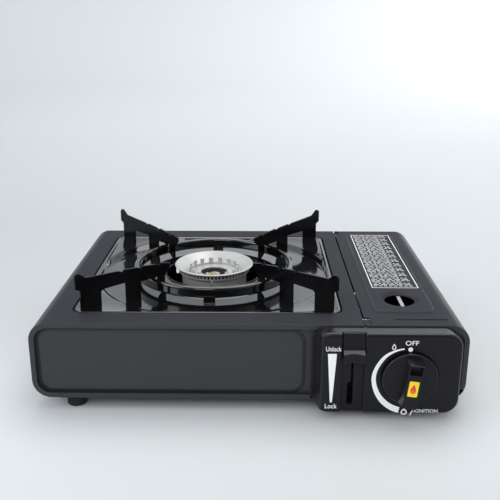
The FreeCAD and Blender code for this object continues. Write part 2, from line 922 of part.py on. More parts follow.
def make_base_plate():
    plate = body("plate")
    wrap_profile(plate, "plate")
    for side, away, right in (("front", f"{HALF_DEPTH} - sheet_wall", "flange_left - seam_gap"),
                              ("rear", f"-{HALF_DEPTH}", f"{HALF_WIDTH} - case_corner")):
        lip = sketch(plate, "XZ_Plane", f"plate_{side}_hem", away)
        draw_rectangle(lip, f"-{HALF_WIDTH} + wrap_tuck", right, f"{FLOOR} - sheet_wall / 2",
                       f"{FLOOR} + hem_width")
        pad(plate, lip, "sheet_wall")
    trim(plate, "plate_left", f"-{HALF_WIDTH} - case_corner",
         f"-{HALF_WIDTH} + wrap_tuck + seam_gap", "0", f"{CASE_TOP} + foot_height")
    trim(plate, "plate_high", f"-{HALF_WIDTH}", f"{HALF_WIDTH} + case_corner",
         "floor_end", f"{CASE_TOP} + foot_height")
    opening = sketch(plate, "XY_Plane", "plate_opening", FLOOR)
    edge = f"(sqrt((cradle_radius + sheet_wall)^2 - (bay_z - {FLOOR})^2) + cradle_gap)"
    draw_rectangle(
        opening, f"bay_x - {edge}", f"bay_x + {edge}",
        "cradle_front - cradle_gap", "cradle_front + cradle_length + cradle_gap")
    pocket(plate, opening, "sheet_wall")
    holes = sketch(plate, "XY_Plane", "plate_holes", FLOOR)
    for x in (f"-{FOOT_X}", FOOT_X):
        for y in ("-foot_y", "foot_y"):
            draw_circle(holes, x, y, SHANK_HOLE)
    for side in ("-", ""):
        for x, y in case_screw_spots(side):
            draw_circle(holes, x, y, SHANK_HOLE)
    pocket(plate, holes, "sheet_wall")
    for side in ("", "-"):
        vent = sketch(plate, "XY_Plane", "plate_vent" + ("_back" if side else "_front"), FLOOR)
        middle = f"{side}(floor_vent_y)"
        draw_rounded(
            vent, "floor_vent_x", "floor_vent_x + floor_vent_width",
            f"{middle} - floor_vent_length / 2", f"{middle} + floor_vent_length / 2",
            "floor_vent_width / 2 - sheet_wall / 10")
        slot = pocket(plate, vent, "sheet_wall")
        linear(plate, slot, "X_Axis", "floor_vent_pitch * (floor_vent_count - 1)", "floor_vent_count")
    node(plate, "base_plate")


def make_partition_wall():
    low_end = f"{FLOOR} + seam_gap + sheet_wall + seam_gap"
    high_end = f"{ROOF} - seam_gap - sheet_wall - seam_gap"
    side = f"({PANEL_FACE} - panel_flange - seam_gap)"
    end = f"({PANEL_BACK} - seam_gap)"
    sheet_body = fuse("wall_body", [
        box("wall_middle", "wall_x", WALL_FACE, f"-{side}", side, FLOOR, ROOF),
        box("wall_long", "wall_x", WALL_FACE, f"-{end}", end, low_end, high_end),
        box("wall_high_flange", "wall_x - wall_flange", WALL_FACE, f"-{side}", side,
            f"{ROOF} - sheet_wall", ROOF),
        box("wall_low_flange", "wall_x - wall_flange", WALL_FACE, f"-{side}", side,
            FLOOR, f"{FLOOR} + sheet_wall"),
    ])
    back = "wall_x - sheet_wall"
    front = f"{WALL_FACE} + sheet_wall"
    slide = "drive_pin_radius + slide_clearance"
    strip_low = f"{FLOOR} + bracket_wall"
    wall = cut("wall", sheet_body, [
        rod("wall_gas_hole", "X", "gas_hole_radius", back, front, "outlet_y", "outlet_z"),
        rod("wall_wire_hole", "X", "wire_hole_radius", back, front,
            "-(igniter_front + igniter_back) / 2", "igniter_high - wire_drop"),
        box("wall_pin_slot", back, front, f"{PIN_REST_Y} - carriage_travel - ({slide})",
            f"{PIN_REST_Y} + {slide}", f"{PIN_REST_Z} - ({slide})", f"lever_z + lever_arm + {slide}"),
        box("wall_strip_slot", back, front, "strip_y - seam_gap", "strip_y + strip_width + seam_gap",
            f"{strip_low} - sheet_wall / 8", f"{strip_low} + strip_thickness + seam_gap"),
    ])
    node(wall, "partition_wall")


def make_canister_cradle():
    back = "cradle_front + cradle_length"
    flange_low = f"({FLOOR})"
    flange_high = f"({FLOOR} + sheet_wall)"
    trough = cut("trough", rod("trough_outer", "Y", "cradle_radius + sheet_wall", "cradle_front", back,
                               "bay_x", "bay_z"),
                 [box("trough_trim", "bay_x - 2 * cradle_radius", "bay_x + 2 * cradle_radius",
                      "cradle_front - overrun", f"{back} + overrun", flange_high,
                      "bay_z + 2 * cradle_radius")])
    flanges = box("trough_flanges", "bay_x - cradle_flange", "bay_x + cradle_flange",
                  "cradle_front", back, flange_low, flange_high)
    bore = rod("trough_bore", "Y", "cradle_radius", "cradle_front - overrun", f"{back} + overrun",
               "bay_x", "bay_z")
    cradle = cut("cradle", fuse("trough_body", [trough, flanges]), [bore])
    node(cradle, "canister_cradle")


def make_control_panel():
    panel = body("control")
    slim = f"({HALF_DEPTH} + seam_gap)"
    tuck = sketch(panel, "XZ_Plane", "control_tuck", PANEL_FACE)
    draw_rounded(
        tuck, "flange_left + seam_gap", "panel_right - seam_gap",
        f"{FLOOR} + seam_gap", f"{ROOF} - tuck_drop", "panel_corner")
    pad(panel, tuck, f"{slim} - {PANEL_FACE}")
    flange = sketch(panel, "XZ_Plane", "control_flange", slim)
    draw_rounded(flange, "flange_left", "panel_right", "panel_low", "panel_high", "panel_corner")
    pad(panel, flange, f"{PANEL_FACE} + panel_flange_rise - {slim}")
    block = sketch(panel, "XZ_Plane", "control_block", slim)
    draw_rounded(block, "island_left", "panel_right", "panel_low", "panel_high", "panel_corner")
    pad(panel, block, f"{CONTROL_FACE} - {slim}")
    wedge = sketch(panel, "XY_Plane", "control_wedge", "panel_high + panel_wall")
    outside = "island_left - panel_wall"
    draw_polygon(wedge, [
        ("island_left", f"-({PANEL_FACE} + panel_flange_rise)"),
        ("island_left + island_slope", f"-{CONTROL_FACE}"),
        ("island_left + island_slope", f"-{CONTROL_FACE} - overrun"),
        (outside, f"-{CONTROL_FACE} - overrun"), (outside, f"-({PANEL_FACE} + panel_flange_rise)"),
    ])
    pocket(panel, wedge, "panel_high + panel_wall")
    face = -num(CONTROL_FACE)
    dress(panel, "Fillet", "panel_bevel", lambda edge: at_level(edge, "Y", face))
    channel = sketch(panel, "XZ_Plane", "control_channel", CONTROL_FACE)
    draw_rectangle(
        channel, "island_right", "channel_right", "panel_low - panel_wall", "panel_high + panel_wall")
    pocket(panel, channel, "channel_depth")
    sides = (num("island_right"), num("channel_right"))
    slack = num("seam_gap")

    def channel_edge(edge):
        bounds = edge.BoundBox
        return (at_level(edge, "Y", face) and bounds.XLength < slack
                and min(abs(bounds.XMin - side) for side in sides) < slack)

    dress(panel, "Fillet", "channel_round", channel_edge)
    hollow_left = "island_left + island_slope + panel_wall"
    hollow_right = "panel_right - panel_wall"
    low = f"{FLOOR} + seam_gap + panel_wall"
    high = f"{ROOF} - tuck_drop - panel_wall"
    hollow = sketch(panel, "XZ_Plane", "control_hollow", PANEL_FACE)
    draw_rounded(hollow, hollow_left, hollow_right, low, high, "panel_corner - panel_wall")
    pocket(panel, hollow, "panel_rise - channel_depth - panel_wall", flip=True)
    deep = sketch(panel, "XZ_Plane", "control_deep", PANEL_FACE)
    draw_rounded(deep, "channel_right + panel_wall", hollow_right, low, high, "panel_corner - panel_wall")
    pocket(panel, deep, "panel_rise - panel_wall", flip=True)
    ring = sketch(panel, "XZ_Plane", "control_ring", CONTROL_FACE)
    draw_circle(ring, "knob_x", "knob_z", "knob_radius + knob_ring")
    draw_circle(ring, "knob_x", "knob_z", "knob_radius - knob_ring")
    pocket(panel, ring, "knob_ring")
    holes = sketch(panel, "XZ_Plane", "control_holes")
    draw_circle(holes, "knob_x", "knob_z", "hub_hole_radius")
    left = "lever_x - slot_width / 2"
    draw_polygon(holes, [
        (f"{left} - slot_step", "slot_low"), ("lever_x + slot_width / 2", "slot_low"),
        ("lever_x + slot_width / 2", "slot_high"), (left, "slot_high"),
        (left, "slot_step_high"), (f"{left} - slot_step", "slot_step_high"),
    ])
    pocket(panel, holes, both=True)
    node(panel, "control_panel")


def screw(name, x, y, seat, reach, head="screw_head_height", radius="screw_radius",
          head_radius="screw_head_radius"):
    """Pan-head screw driven upwards, its head under the seat."""
    return fuse(name, [
        rod(name + "_head", "Z", head_radius, f"{seat} - ({head})", seat, x, y),
        rod(name + "_shank", "Z", radius, f"{seat} - ({head}) / 2", f"{seat} + {reach}", x, y),
    ])


def make_feet():
    pads = []
    screws = []
    for side_x in ("-", ""):
        for side_y in ("-", ""):
            name = "foot_%s_%s" % ("left" if side_x else "right", "front" if side_y else "back")
            x = f"{side_x}{FOOT_X}"
            y = f"{side_y}(foot_y)"
            pads.append(cut(name, fuse(name + "_block", [
                rod(name + "_pad", "Z", "foot_radius", "foot_taper", "foot_height", x, y),
                cone(name + "_toe", "Z", "foot_radius - foot_taper", "foot_radius", "0", "foot_taper", x, y),
            ]), [
                rod(name + "_recess", "Z", "foot_recess_radius", "0", "foot_recess_depth", x, y),
                rod(name + "_hole", "Z", SHANK_HOLE, "0", "foot_height", x, y),
            ]))
            screws.append(screw(name + "_screw", x, y, "foot_recess_depth",
                                "foot_height - foot_recess_depth + sheet_wall"))
    node(group("foot_pad_group", pads), "foot_pads")
    node(group("foot_screw_group", screws), "foot_screws")


def make_casing_screws():
    screws = []
    for side in ("-", ""):
        for x, y in case_screw_spots(side):
            name = "case_screw_%d" % len(screws)
            screws.append(screw(name, x, y, "foot_height", "sheet_wall + screw_reach"))
    node(group("case_screw_group", screws), "casing_screws")


# Lid

def make_lid():
    lid = body("lid")
    wrap_profile(lid, "lid")
    hem(lid, "lid")
    trim(lid, "lid_left", f"-{HALF_WIDTH} - case_corner", "lid_edge", "0", f"{CASE_TOP} + foot_height")
    trim(lid, "lid_lower", f"-{HALF_WIDTH}", f"{HALF_WIDTH} + case_corner", "0", "lid_low")
    round_hem(lid)
    raised = sketch(lid, "XY_Plane", "lid_pad", CASE_TOP)
    draw_rounded(raised, "pad_left", "pad_right", "pad_front", "pad_back", "pad_corner")
    pad(lid, raised, "pad_rise")
    top = num(f"{CASE_TOP} + pad_rise")
    dress(lid, "Chamfer", "pad_rise - sheet_wall / 4", lambda edge: at_level(edge, "Z", top))
    bead = sketch(lid, "XY_Plane", "lid_bead", CASE_TOP)
    draw_rounded(
        bead, "bead_left", "bead_right", "bead_y - bead_width / 2", "bead_y + bead_width / 2",
        "bead_width / 2 - sheet_wall / 10")
    pad(lid, bead, "bead_rise")
    dent = sketch(lid, "XY_Plane", "lid_dent", ROOF)
    draw_rounded(
        dent, "pad_left + pad_rise", "pad_right - pad_rise", "pad_front + pad_rise",
        "pad_back - pad_rise", "pad_corner - pad_rise")
    pocket(lid, dent, "pad_rise", flip=True)
    notch = sketch(lid, "XY_Plane", "lid_notch", CASE_TOP)
    for side in ("-", ""):
        draw_rectangle(
            notch, "lid_edge - sheet_wall", "hinge_notch_x",
            f"{side}(hinge_notch_inner)", f"{side}(hinge_notch_outer)")
    pocket(lid, notch, "sheet_wall")
    peep = sketch(lid, "XY_Plane", "lid_peep", f"{CASE_TOP} + pad_rise")
    draw_circle(peep, "peep_x", "peep_y", "peep_outer_radius - sheet_wall / 4")
    pocket(lid, peep, "pad_rise + sheet_wall")
    dish = sketch(lid, "XY_Plane", "lid_dish", f"{ROOF}")
    draw_circle(dish, "peep_x", "peep_y", "peep_outer_radius")
    draw_circle(dish, "peep_x", "peep_y", "peep_radius")
    pad(lid, dish, "pad_rise + sheet_wall - sheet_wall / 8")
    slope = sketch(lid, "XY_Plane", "lid_slope", f"{CASE_TOP} + pad_rise")
    draw_circle(slope, "peep_x", "peep_y", "peep_outer_radius - sheet_wall")
    dip = pocket(lid, slope, "pad_rise + sheet_wall / 4")
    dip.TaperAngle = -30
    node(lid, "canister_lid")
    strip = box("sight_strip", "sight_strip_x - sight_strip_width / 2",
                "sight_strip_x + sight_strip_width / 2", "peep_y - sight_strip_length / 2",
                "peep_y + sight_strip_length / 2", f"{ROOF} - sheet_wall", ROOF)
    node(group("sight_strip_holder", [strip]), "peep_sight_strip")


def hinge_leaf(name, low_x, high_x, y0, y1):
    """Flat leaf seen edge-on from the side, drilled for the hinge pin."""
    low = f"{HINGE_Z} - hinge_leaf_round"
    plate = box(name + "_plate", low_x, high_x, y0, y1, low, f"{ROOF} - hinge_play / 2")
    return plate, rod(name + "_hole", "Y", "hinge_pin_radius + shaft_clearance",
                      f"{y0} - overrun", f"{y1} + overrun", "hinge_x", HINGE_Z)


def make_hinges():
    ears = []
    brackets = []
    pins = []
    for side in (-1, 1):
        word = "front" if side < 0 else "back"

        def span(inner, outer):
            ends = sorted(((f"{side} * ({inner})"), (f"{side} * ({outer})")), key=num)
            return ends[0], ends[1]

        ear_outer = "hinge_notch_inner - hinge_play"
        y0, y1 = span(f"{ear_outer} - hinge_leaf", ear_outer)
        low = f"{HINGE_Z} - hinge_leaf_round"
        ears.append(cut(f"ear_{word}", box(f"ear_{word}_plate", "lid_edge + seam_gap", "ear_right",
                                          y0, y1, low, ROOF),
                        [rod(f"ear_{word}_hole", "Y", "hinge_pin_radius + shaft_clearance",
                             f"{y0} - overrun", f"{y1} + overrun", "hinge_x", HINGE_Z)]))
        leaf_inner = "hinge_notch_inner + hinge_play"
        y0, y1 = span(leaf_inner, f"{leaf_inner} + hinge_leaf")
        plate, hole = hinge_leaf(f"bracket_{word}", WALL_FACE, "hinge_x + hinge_leaf_round", y0, y1)
        brackets.append(cut(f"bracket_{word}", plate, [hole]))
        y0, y1 = span(f"{ear_outer} - 2 * hinge_leaf", f"{leaf_inner} + hinge_leaf + seam_gap")
        pins.append(rod(f"hinge_pin_{word}", "Y", "hinge_pin_radius", y0, y1, "hinge_x", HINGE_Z))
    node(group("ear_group", ears), "lid_hinge_ears")
    node(group("bracket_group", brackets), "hinge_brackets")
    node(group("hinge_pin_group", pins), "hinge_pins")


# Knob, spindle and gas valve

def make_knob():
    knob = body("knob")
    disc = sketch(knob, "XZ_Plane", "knob_disc", KNOB_BACK)
    draw_circle(disc, "0", "0", "knob_radius")
    pad(knob, disc, "knob_thickness")
    edge_y = -num(KNOB_FACE)
    dress(knob, "Fillet", "knob_round", lambda edge: at_level(edge, "Y", edge_y))
    grip = sketch(knob, "XY_Plane", "knob_grip", "-grip_tail")
    draw_polygon(grip, [
        ("-grip_foot / 2", f"-{KNOB_BACK}"), ("grip_foot / 2", f"-{KNOB_BACK}"),
        ("grip_foot / 2", f"-{KNOB_FACE}"), ("grip_width / 2", f"-{GRIP_FACE}"),
        ("-grip_width / 2", f"-{GRIP_FACE}"), ("-grip_foot / 2", f"-{KNOB_FACE}"),
    ])
    pad(knob, grip, "grip_tail + grip_top")
    front = -num(GRIP_FACE)

    def long_edge(edge):
        return at_level(edge, "Y", front) and edge.Length > num("grip_tail")

    dress(knob, "Chamfer", "grip_slope", long_edge)
    recess = sketch(knob, "XZ_Plane", "knob_recess", GRIP_FACE)
    draw_rectangle(
        recess, "-grip_recess_width / 2", "grip_recess_width / 2", "grip_recess_start", "grip_recess_end")
    pocket(knob, recess, "grip_recess_depth")
    hub = sketch(knob, "XZ_Plane", "knob_hub", KNOB_BACK)
    draw_circle(hub, "0", "0", "hub_radius")
    pad(knob, hub, "hub_length", flip=True)
    bore = sketch(knob, "XZ_Plane", "knob_bore", f"{KNOB_BACK} - hub_length")
    draw_circle(bore, "0", "0", "spindle_radius")
    pocket(knob, bore, "hub_length + knob_thickness - spindle_front_cover", flip=True)
    node(knob, "control_knob", x="knob_x", z="knob_z", axis=Vector(0, 1, 0), turn="knob_tilt")

    sticker = box("sticker", "-sticker_width / 2", "sticker_width / 2",
                  f"-{GRIP_FACE} - sticker_thickness", f"-{GRIP_FACE}",
                  "-sticker_drop - sticker_height / 2", "-sticker_drop + sticker_height / 2")
    holder = group("sticker_holder", [sticker])
    node(holder, "knob_sticker", x="knob_x", z="knob_z", axis=Vector(0, 1, 0), turn="knob_tilt")

    spindle = rod("spindle", "Y", "spindle_radius", f"-({KNOB_FACE} - spindle_front_cover)",
                  "-spindle_back", "0", "0")
    node(group("spindle_holder", [spindle]), "valve_spindle", x="knob_x", z="knob_z")

    cam = body("cam")
    away = f"valve_front + ({PANEL_BACK} - valve_front) / 2"
    lobe = sketch(cam, "XZ_Plane", "cam_lobe", away)
    draw_rounded(lobe, "-cam_width / 2", "cam_width / 2", "-cam_width / 2", "cam_reach - cam_width / 8",
                 "cam_width / 2 - sheet_wall / 10")
    pad(cam, lobe, "cam_thickness", both=True)
    ring = sketch(cam, "XZ_Plane", "cam_ring", away)
    draw_circle(ring, "0", "0", "cam_radius")
    pad(cam, ring, "cam_thickness", both=True)
    bore = sketch(cam, "XZ_Plane", "cam_bore", away)
    draw_circle(bore, "0", "0", "spindle_radius")
    pocket(cam, bore, both=True)
    node(cam, "ignition_cam", x="knob_x", z="knob_z", axis=Vector(0, 1, 0), turn="180 + cam_angle")


def make_valve():
    block = rounded("valve_block", box("valve_box", "valve_left", "valve_right", "-valve_front",
                                       "-valve_back", "valve_low", "valve_high"), "valve_round",
                    lambda edge: edge.BoundBox.YLength > num("valve_front - valve_back") * 0.9)
    bosses = []
    holes = [rod("valve_spindle_hole", "Y", "spindle_radius + shaft_clearance", "-valve_front - overrun",
                 "-spindle_back + overrun", "knob_x", "knob_z"),
             rod("valve_port_hole", "Y", "port_radius", "-valve_back - port_depth", "-valve_back + overrun",
                 "bay_x", "bay_z"),
             rod("valve_outlet_hole", "X", "gas_tube_radius", "valve_left - overrun",
                 "valve_left + port_depth", "outlet_y", "outlet_z")]
    screws = []
    for corner in ("low", "high"):
        x = f"standoff_{corner}_x"
        z = f"standoff_{corner}_z"
        bosses.append(rod(f"standoff_{corner}", "Y", "standoff_radius", f"-({PANEL_BACK})",
                          "-valve_front + valve_round", x, z))
        holes.append(rod(f"standoff_{corner}_hole", "Y", SHANK_HOLE, f"-({PANEL_BACK}) - overrun",
                         "-valve_front + valve_round", x, z))
        face = f"-{PANEL_FACE}"
        screws.append(fuse(f"valve_screw_{corner}", [
            rod(f"valve_screw_{corner}_head", "Y", "screw_head_radius", f"{face} - screw_head_height",
                face, x, z),
            rod(f"valve_screw_{corner}_shank", "Y", "screw_radius", f"{face} - screw_head_height / 2",
                "-valve_front", x, z),
        ]))
    node(cut("valve", fuse("valve_casting", [block] + bosses), holes), "valve_body")
    node(group("valve_screw_group", screws), "valve_screws")

    flange_end = "valve_left - regulator_flange"
    cover = fuse("regulator", [
        rod("regulator_rim", "X", "regulator_flange_radius", flange_end, "valve_left",
            "regulator_y", "regulator_z"),
        cone("regulator_dome", "X", "regulator_radius - regulator_flange", "regulator_radius - screw_radius",
             "valve_left - regulator_depth", flange_end, "regulator_y", "regulator_z"),
    ])
    node(cover, "regulator_cover")
    heads = []
    for i in range(int(num("regulator_screw_count"))):
        turn = math.radians(45 + i * 360 / num("regulator_screw_count"))
        y = f"regulator_y + regulator_screw_circle * {math.cos(turn):.6f}"
        z = f"regulator_z + regulator_screw_circle * {math.sin(turn):.6f}"
        heads.append(rod(f"regulator_screw_{i}", "X", "regulator_screw_radius",
                         f"{flange_end} - regulator_screw_head", flange_end, y, z))
    node(group("regulator_screw_group", heads), "regulator_screws")

    port = cut("port", rod("port_stem", "Y", "port_radius", "-valve_back - port_depth",
                           "-valve_back + port_length", "bay_x", "bay_z"), [
        rod("port_hole", "Y", "port_bore", "-valve_back - port_depth + port_bore",
            "-valve_back + port_length + overrun", "bay_x", "bay_z"),
        rod("port_seat", "Y", "port_seat_radius", "-valve_back + port_length - port_seat_depth",
            "-valve_back + port_length + overrun", "bay_x", "bay_z"),
    ])
    node(port, "canister_port")
    seat = "-valve_back + port_length - port_seat_depth"
    seal = cut("seal", rod("seal_disc", "Y", "port_seat_radius", seat, f"{seat} + seal_thickness",
                           "bay_x", "bay_z"),
               [rod("seal_hole", "Y", "seal_bore", f"{seat} - overrun", f"{seat} + 2 * seal_thickness",
                    "bay_x", "bay_z")])
    node(seal, "port_seal")

    face = "-valve_back"
    stop = cut("stop", fuse("stop_body", [
        box("stop_plate", "bay_x - stop_half_width", "bay_x + stop_half_width", face,
            f"{face} + carriage_wall", "stop_low", f"{ROOF} - stop_high"),
        box("stop_tab", "bay_x - notch_tab_width / 2", "bay_x + notch_tab_width / 2", face,
            f"{face} + carriage_wall + notch_tab_length", "bay_z + notch_tab_rise",
            "bay_z + notch_tab_rise + carriage_wall"),
    ]), [rod("stop_hole", "Y", "port_radius + seam_gap", f"{face} - overrun", f"{face} + 2 * carriage_wall",
             "bay_x", "bay_z")])
    node(stop, "canister_stop_plate")


# Gas line and burner

def make_gas_line():
    start = Vector(num("valve_left + port_depth"), num("outlet_y"), num("outlet_z"))
    corner = Vector(num("gas_bend_x"), num("outlet_y"), num("outlet_z"))
    angle = math.radians(num(GAS_TURN))
    away = Vector(math.cos(angle), math.sin(angle), 0)
    solid, length = pipe(
        [start, corner, corner + away * num("gas_tube_reach")], [num("gas_bend_radius")],
        num("gas_tube_radius"), num("gas_tube_radius - gas_tube_wall"))
    print("gas tube length %.1f, volume %.1f of %.1f" % (
        length, solid.Volume,
        length * math.pi * (num("gas_tube_radius") ** 2 - num("gas_tube_radius - gas_tube_wall") ** 2)))
    tube = doc.addObject("Part::Feature", "gas_pipe")
    tube.Shape = solid
    node(tube, "gas_tube")

    def along(name, corners):
        """Turned piece on the line from the bend to the burner."""
        piece = body(name)
        drawing = sketch(piece, "XZ_Plane", name + "_outline")
        draw_polygon(drawing, corners)
        revolve(piece, drawing, axis="H_Axis")
        return piece

    jet_start = "gas_tube_reach"
    jet_end = f"({jet_start} + jet_length)"
    jet = along("jet", [
        (jet_start, "jet_bore"), (jet_start, "jet_radius"), (jet_end, "jet_radius"),
        (f"{jet_end} + jet_tip_length", "jet_tip_radius"), (f"{jet_end} + jet_tip_length", "jet_bore"),
    ])
    node(jet, "jet_nozzle", "gas_bend_x", "outlet_y", "outlet_z", Vector(0, 0, 1), GAS_TURN)

    bell = "(mixer_start + mixer_bell_length)"
    throat = f"({bell} + mixer_throat_length)"
    wide = f"({throat} + mixer_cone_length)"
    end = f"({GAS_RUN} - burner_radius + mixer_entry)"
    mixer = along("mixer", [
        ("mixer_start", "mixer_bell_radius - mixer_wall"), ("mixer_start", "mixer_bell_radius"),
        (bell, "mixer_throat_radius"), (throat, "mixer_throat_radius"), (wide, "mixer_radius"),
        (end, "mixer_radius"), (end, "mixer_radius - mixer_wall"), (wide, "mixer_radius - mixer_wall"),
        (throat, "mixer_throat_radius - mixer_wall"), (bell, "mixer_throat_radius - mixer_wall"),
    ])
    node(mixer, "mixing_tube", "gas_bend_x", "outlet_y", "outlet_z", Vector(0, 0, 1), GAS_TURN)


def make_burner():
    cup = body("cup")
    drawing = sketch(cup, "XZ_Plane", "cup_outline")
    draw_polygon(drawing, [
        ("0", "burner_seat"), ("burner_radius", "burner_seat"), ("burner_radius", "burner_rim"),
        ("burner_radius - burner_wall", "burner_rim"),
        ("burner_radius - burner_wall", "burner_seat + burner_floor"),
        ("post_radius", "burner_seat + burner_floor"), ("post_radius", "post_top"), ("0", "post_top"),
    ])
    revolve(cup, drawing)
    inlet = rod("cup_inlet", "X", "mixer_radius", "-2 * burner_radius",
                "mixer_radius + 2 * burner_wall - burner_radius", "0", "0")
    aim = group("cup_aim", [inlet])
    put(aim, "0", "0", "outlet_z", Vector(0, 0, 1), GAS_TURN)
    screw_holes = [
        rod(f"cup_screw_hole_{i}", "Z", SHANK_HOLE, "burner_seat - overrun",
            "burner_seat + burner_floor + overrun",
            f"{side}(burner_screw_x)", "burner_screw_y")
        for i, side in enumerate(("-", ""))
    ]
    centre_hole = rod("cup_centre_hole", "Z", "centre_screw_shank", "post_top - centre_screw_reach",
                      "post_top + overrun", "0", "0")
    node(cut("burner_cup", cup, [aim, centre_hole] + screw_holes), "burner_body", x="burner_x")

    head = body("head")
    drawing = sketch(head, "XZ_Plane", "head_outline")
    draw_polygon(drawing, [
        ("burner_radius - burner_wall", "burner_rim"), ("head_foot_radius", "burner_rim"),
        ("head_foot_radius", "head_edge"), ("head_radius", "head_top - head_lip / 2"),
        ("head_radius - head_lip / 2", "head_top"), ("head_radius - head_lip", "head_top"),
        ("head_plate_radius", "head_plate"), ("head_hole_radius", "head_plate"),
        ("head_hole_radius", "head_plate - head_wall"),
        ("head_plate_radius + head_wall / 2", "head_plate - head_wall"),
        ("burner_radius - burner_wall", "burner_rim + head_wall / 2"),
    ])
    revolve(head, drawing)
    slot = sketch(head, "XZ_Plane", "head_slot", "head_foot_radius + overrun")
    draw_rectangle(slot, "-flame_slot_width / 2", "flame_slot_width / 2", "flame_slot_low",
                   "flame_slot_low + flame_slot_height")
    port = pocket(head, slot, "flame_slot_depth + overrun")
    polar(head, port, "Z_Axis", "flame_slot_count")
    node(head, "burner_head", x="burner_x")

    crown = body("crown")
    ring = sketch(crown, "XY_Plane", "crown_ring", "head_plate")
    draw_circle(ring, "0", "0", "crown_radius")
    draw_circle(ring, "0", "0", "crown_radius - crown_wall")
    pad(crown, ring, "crown_height")
    slot = sketch(crown, "XZ_Plane", "crown_slot", "crown_radius + overrun")
    draw_rectangle(slot, "-crown_slot / 2", "crown_slot / 2",
                   "head_plate + crown_height - crown_slot_height", "head_plate + crown_height + overrun")
    gap = pocket(crown, slot, "crown_wall + 2 * overrun")
    polar(crown, gap, "Z_Axis", "crown_count")
    node(crown, "inner_flame_ring", x="burner_x")

    top = "(post_top + centre_screw_height)"
    centre = cut("centre_screw", fuse("centre_screw_body", [
        rod("centre_screw_head", "Z", "centre_screw_radius", "post_top", top, "0", "0"),
        rod("centre_screw_shank_rod", "Z", "centre_screw_shank", "post_top - centre_screw_reach",
            f"{top} - centre_screw_slot", "0", "0"),
    ]), [
        box("centre_slot_long", "-2 * centre_screw_radius", "2 * centre_screw_radius",
            "-centre_screw_slot / 2", "centre_screw_slot / 2", f"{top} - centre_screw_slot",
            f"{top} + overrun"),
    ])
    node(centre, "burner_centre_screw", x="burner_x")

    bracket = body("bracket")
    outer = "bracket_half_width"
    inner = "(bracket_half_width - bracket_wall)"
    foot = "(bracket_half_width + bracket_foot)"
    hat = sketch(bracket, "XZ_Plane", "bracket_hat")
    draw_polygon(hat, [
        (f"-{foot}", FLOOR), (f"-{inner}", FLOOR), (f"-{inner}", "burner_seat - bracket_wall"),
        (inner, "burner_seat - bracket_wall"), (inner, FLOOR), (foot, FLOOR),
        (foot, f"{FLOOR} + bracket_wall"), (outer, f"{FLOOR} + bracket_wall"), (outer, "burner_seat"),
        (f"-{outer}", "burner_seat"), (f"-{outer}", f"{FLOOR} + bracket_wall"),
        (f"-{foot}", f"{FLOOR} + bracket_wall"),
    ])
    pad(bracket, hat, "bracket_depth", both=True)
    holes = sketch(bracket, "XY_Plane", "bracket_holes", "burner_seat")
    for side in ("-", ""):
        draw_circle(holes, f"{side}(burner_screw_x)", "burner_screw_y", SHANK_HOLE)
    pocket(bracket, holes, "bracket_wall")
    node(bracket, "burner_bracket", x="burner_x")
    screws = [
        screw(f"burner_screw_{i}", f"{side}(burner_screw_x)", "burner_screw_y",
              "burner_seat - bracket_wall", "bracket_wall + burner_floor")
        for i, side in enumerate(("-", ""))
    ]
    node(group("burner_screw_group", screws), "burner_screws", x="burner_x")


def make_heat_conductor():
    strip = body("strip")
    drawing = sketch(strip, "XZ_Plane", "strip_outline", "-strip_y")
    left = "(burner_x + bracket_half_width)"
    low = f"({FLOOR} + bracket_wall)"
    draw_polygon(drawing, [
        (left, "strip_high"), (left, low), ("strip_right", low),
        ("strip_right", f"{low} + strip_thickness"),
        (f"{left} + strip_thickness", f"{low} + strip_thickness"),
        (f"{left} + strip_thickness", "strip_high"),
    ])
    pad(strip, drawing, "strip_width", flip=True)
    node(strip, "heat_conductor")


# Igniter

def make_igniter():
    middle_y = "-(igniter_front + igniter_back) / 2"
    middle_z = "(igniter_low + igniter_high) / 2"
    case = rounded("igniter_case", box("igniter_box", "igniter_left", "igniter_right", "-igniter_front",
                                       "-igniter_back", "igniter_low", "igniter_high"), "knob_round",
                   lambda edge: edge.BoundBox.XLength > num("igniter_right - igniter_left") * 0.9)
    unit = cut("igniter", case, [
        rod("igniter_bore", "X", "plunger_bore", "igniter_right - plunger_tail - plunger_travel - overrun",
            "igniter_right + overrun", middle_y, middle_z),
    ])
    node(unit, "ignition_unit")
    plunger = rod("plunger", "X", "plunger_radius", "igniter_right - plunger_tail",
                  "igniter_right + plunger_length", middle_y, middle_z)
    node(group("plunger_holder", [plunger]), "igniter_plunger")

    y = "electrode_y"
    ceramic = cut("ceramic", rod("ceramic_rod", "Z", "electrode_radius", "electrode_low", "electrode_high",
                                 "burner_x", y),
                  [rod("ceramic_bore", "Z", "tip_radius", "electrode_high - 2 * electrode_radius",
                       "electrode_high + overrun", "burner_x", y)])
    node(ceramic, "electrode_ceramic")
    x = num("burner_x")
    back = num(y)
    bend = num("tip_bend")
    top = num("tip_top")
    solid, length = pipe([
        Vector(x, back, num("electrode_high - 2 * electrode_radius")),
        Vector(x, back, top - bend),
        Vector(x, back + num("tip_lean"), top),
    ], [bend], num("tip_radius"))
    tip = doc.addObject("Part::Feature", "tip_wire")
    tip.Shape = solid
    node(tip, "electrode_tip")

    plate = cut("electrode_holder", box(
        "electrode_plate", "burner_x - electrode_plate_width / 2", "burner_x + electrode_plate_width / 2",
        "electrode_y - electrode_plate_front", "-burner_radius + burner_wall",
        "electrode_plate_z", "electrode_plate_z + bracket_wall"), [
        rod("electrode_plate_hole", "Z", "electrode_radius", "electrode_plate_z - overrun",
            "electrode_plate_z + 2 * bracket_wall", "burner_x", y),
        rod("electrode_plate_bite", "Z", "burner_radius", "electrode_plate_z - overrun",
            "electrode_plate_z + 2 * bracket_wall", "burner_x", "0"),
    ])
    node(plate, "electrode_bracket")


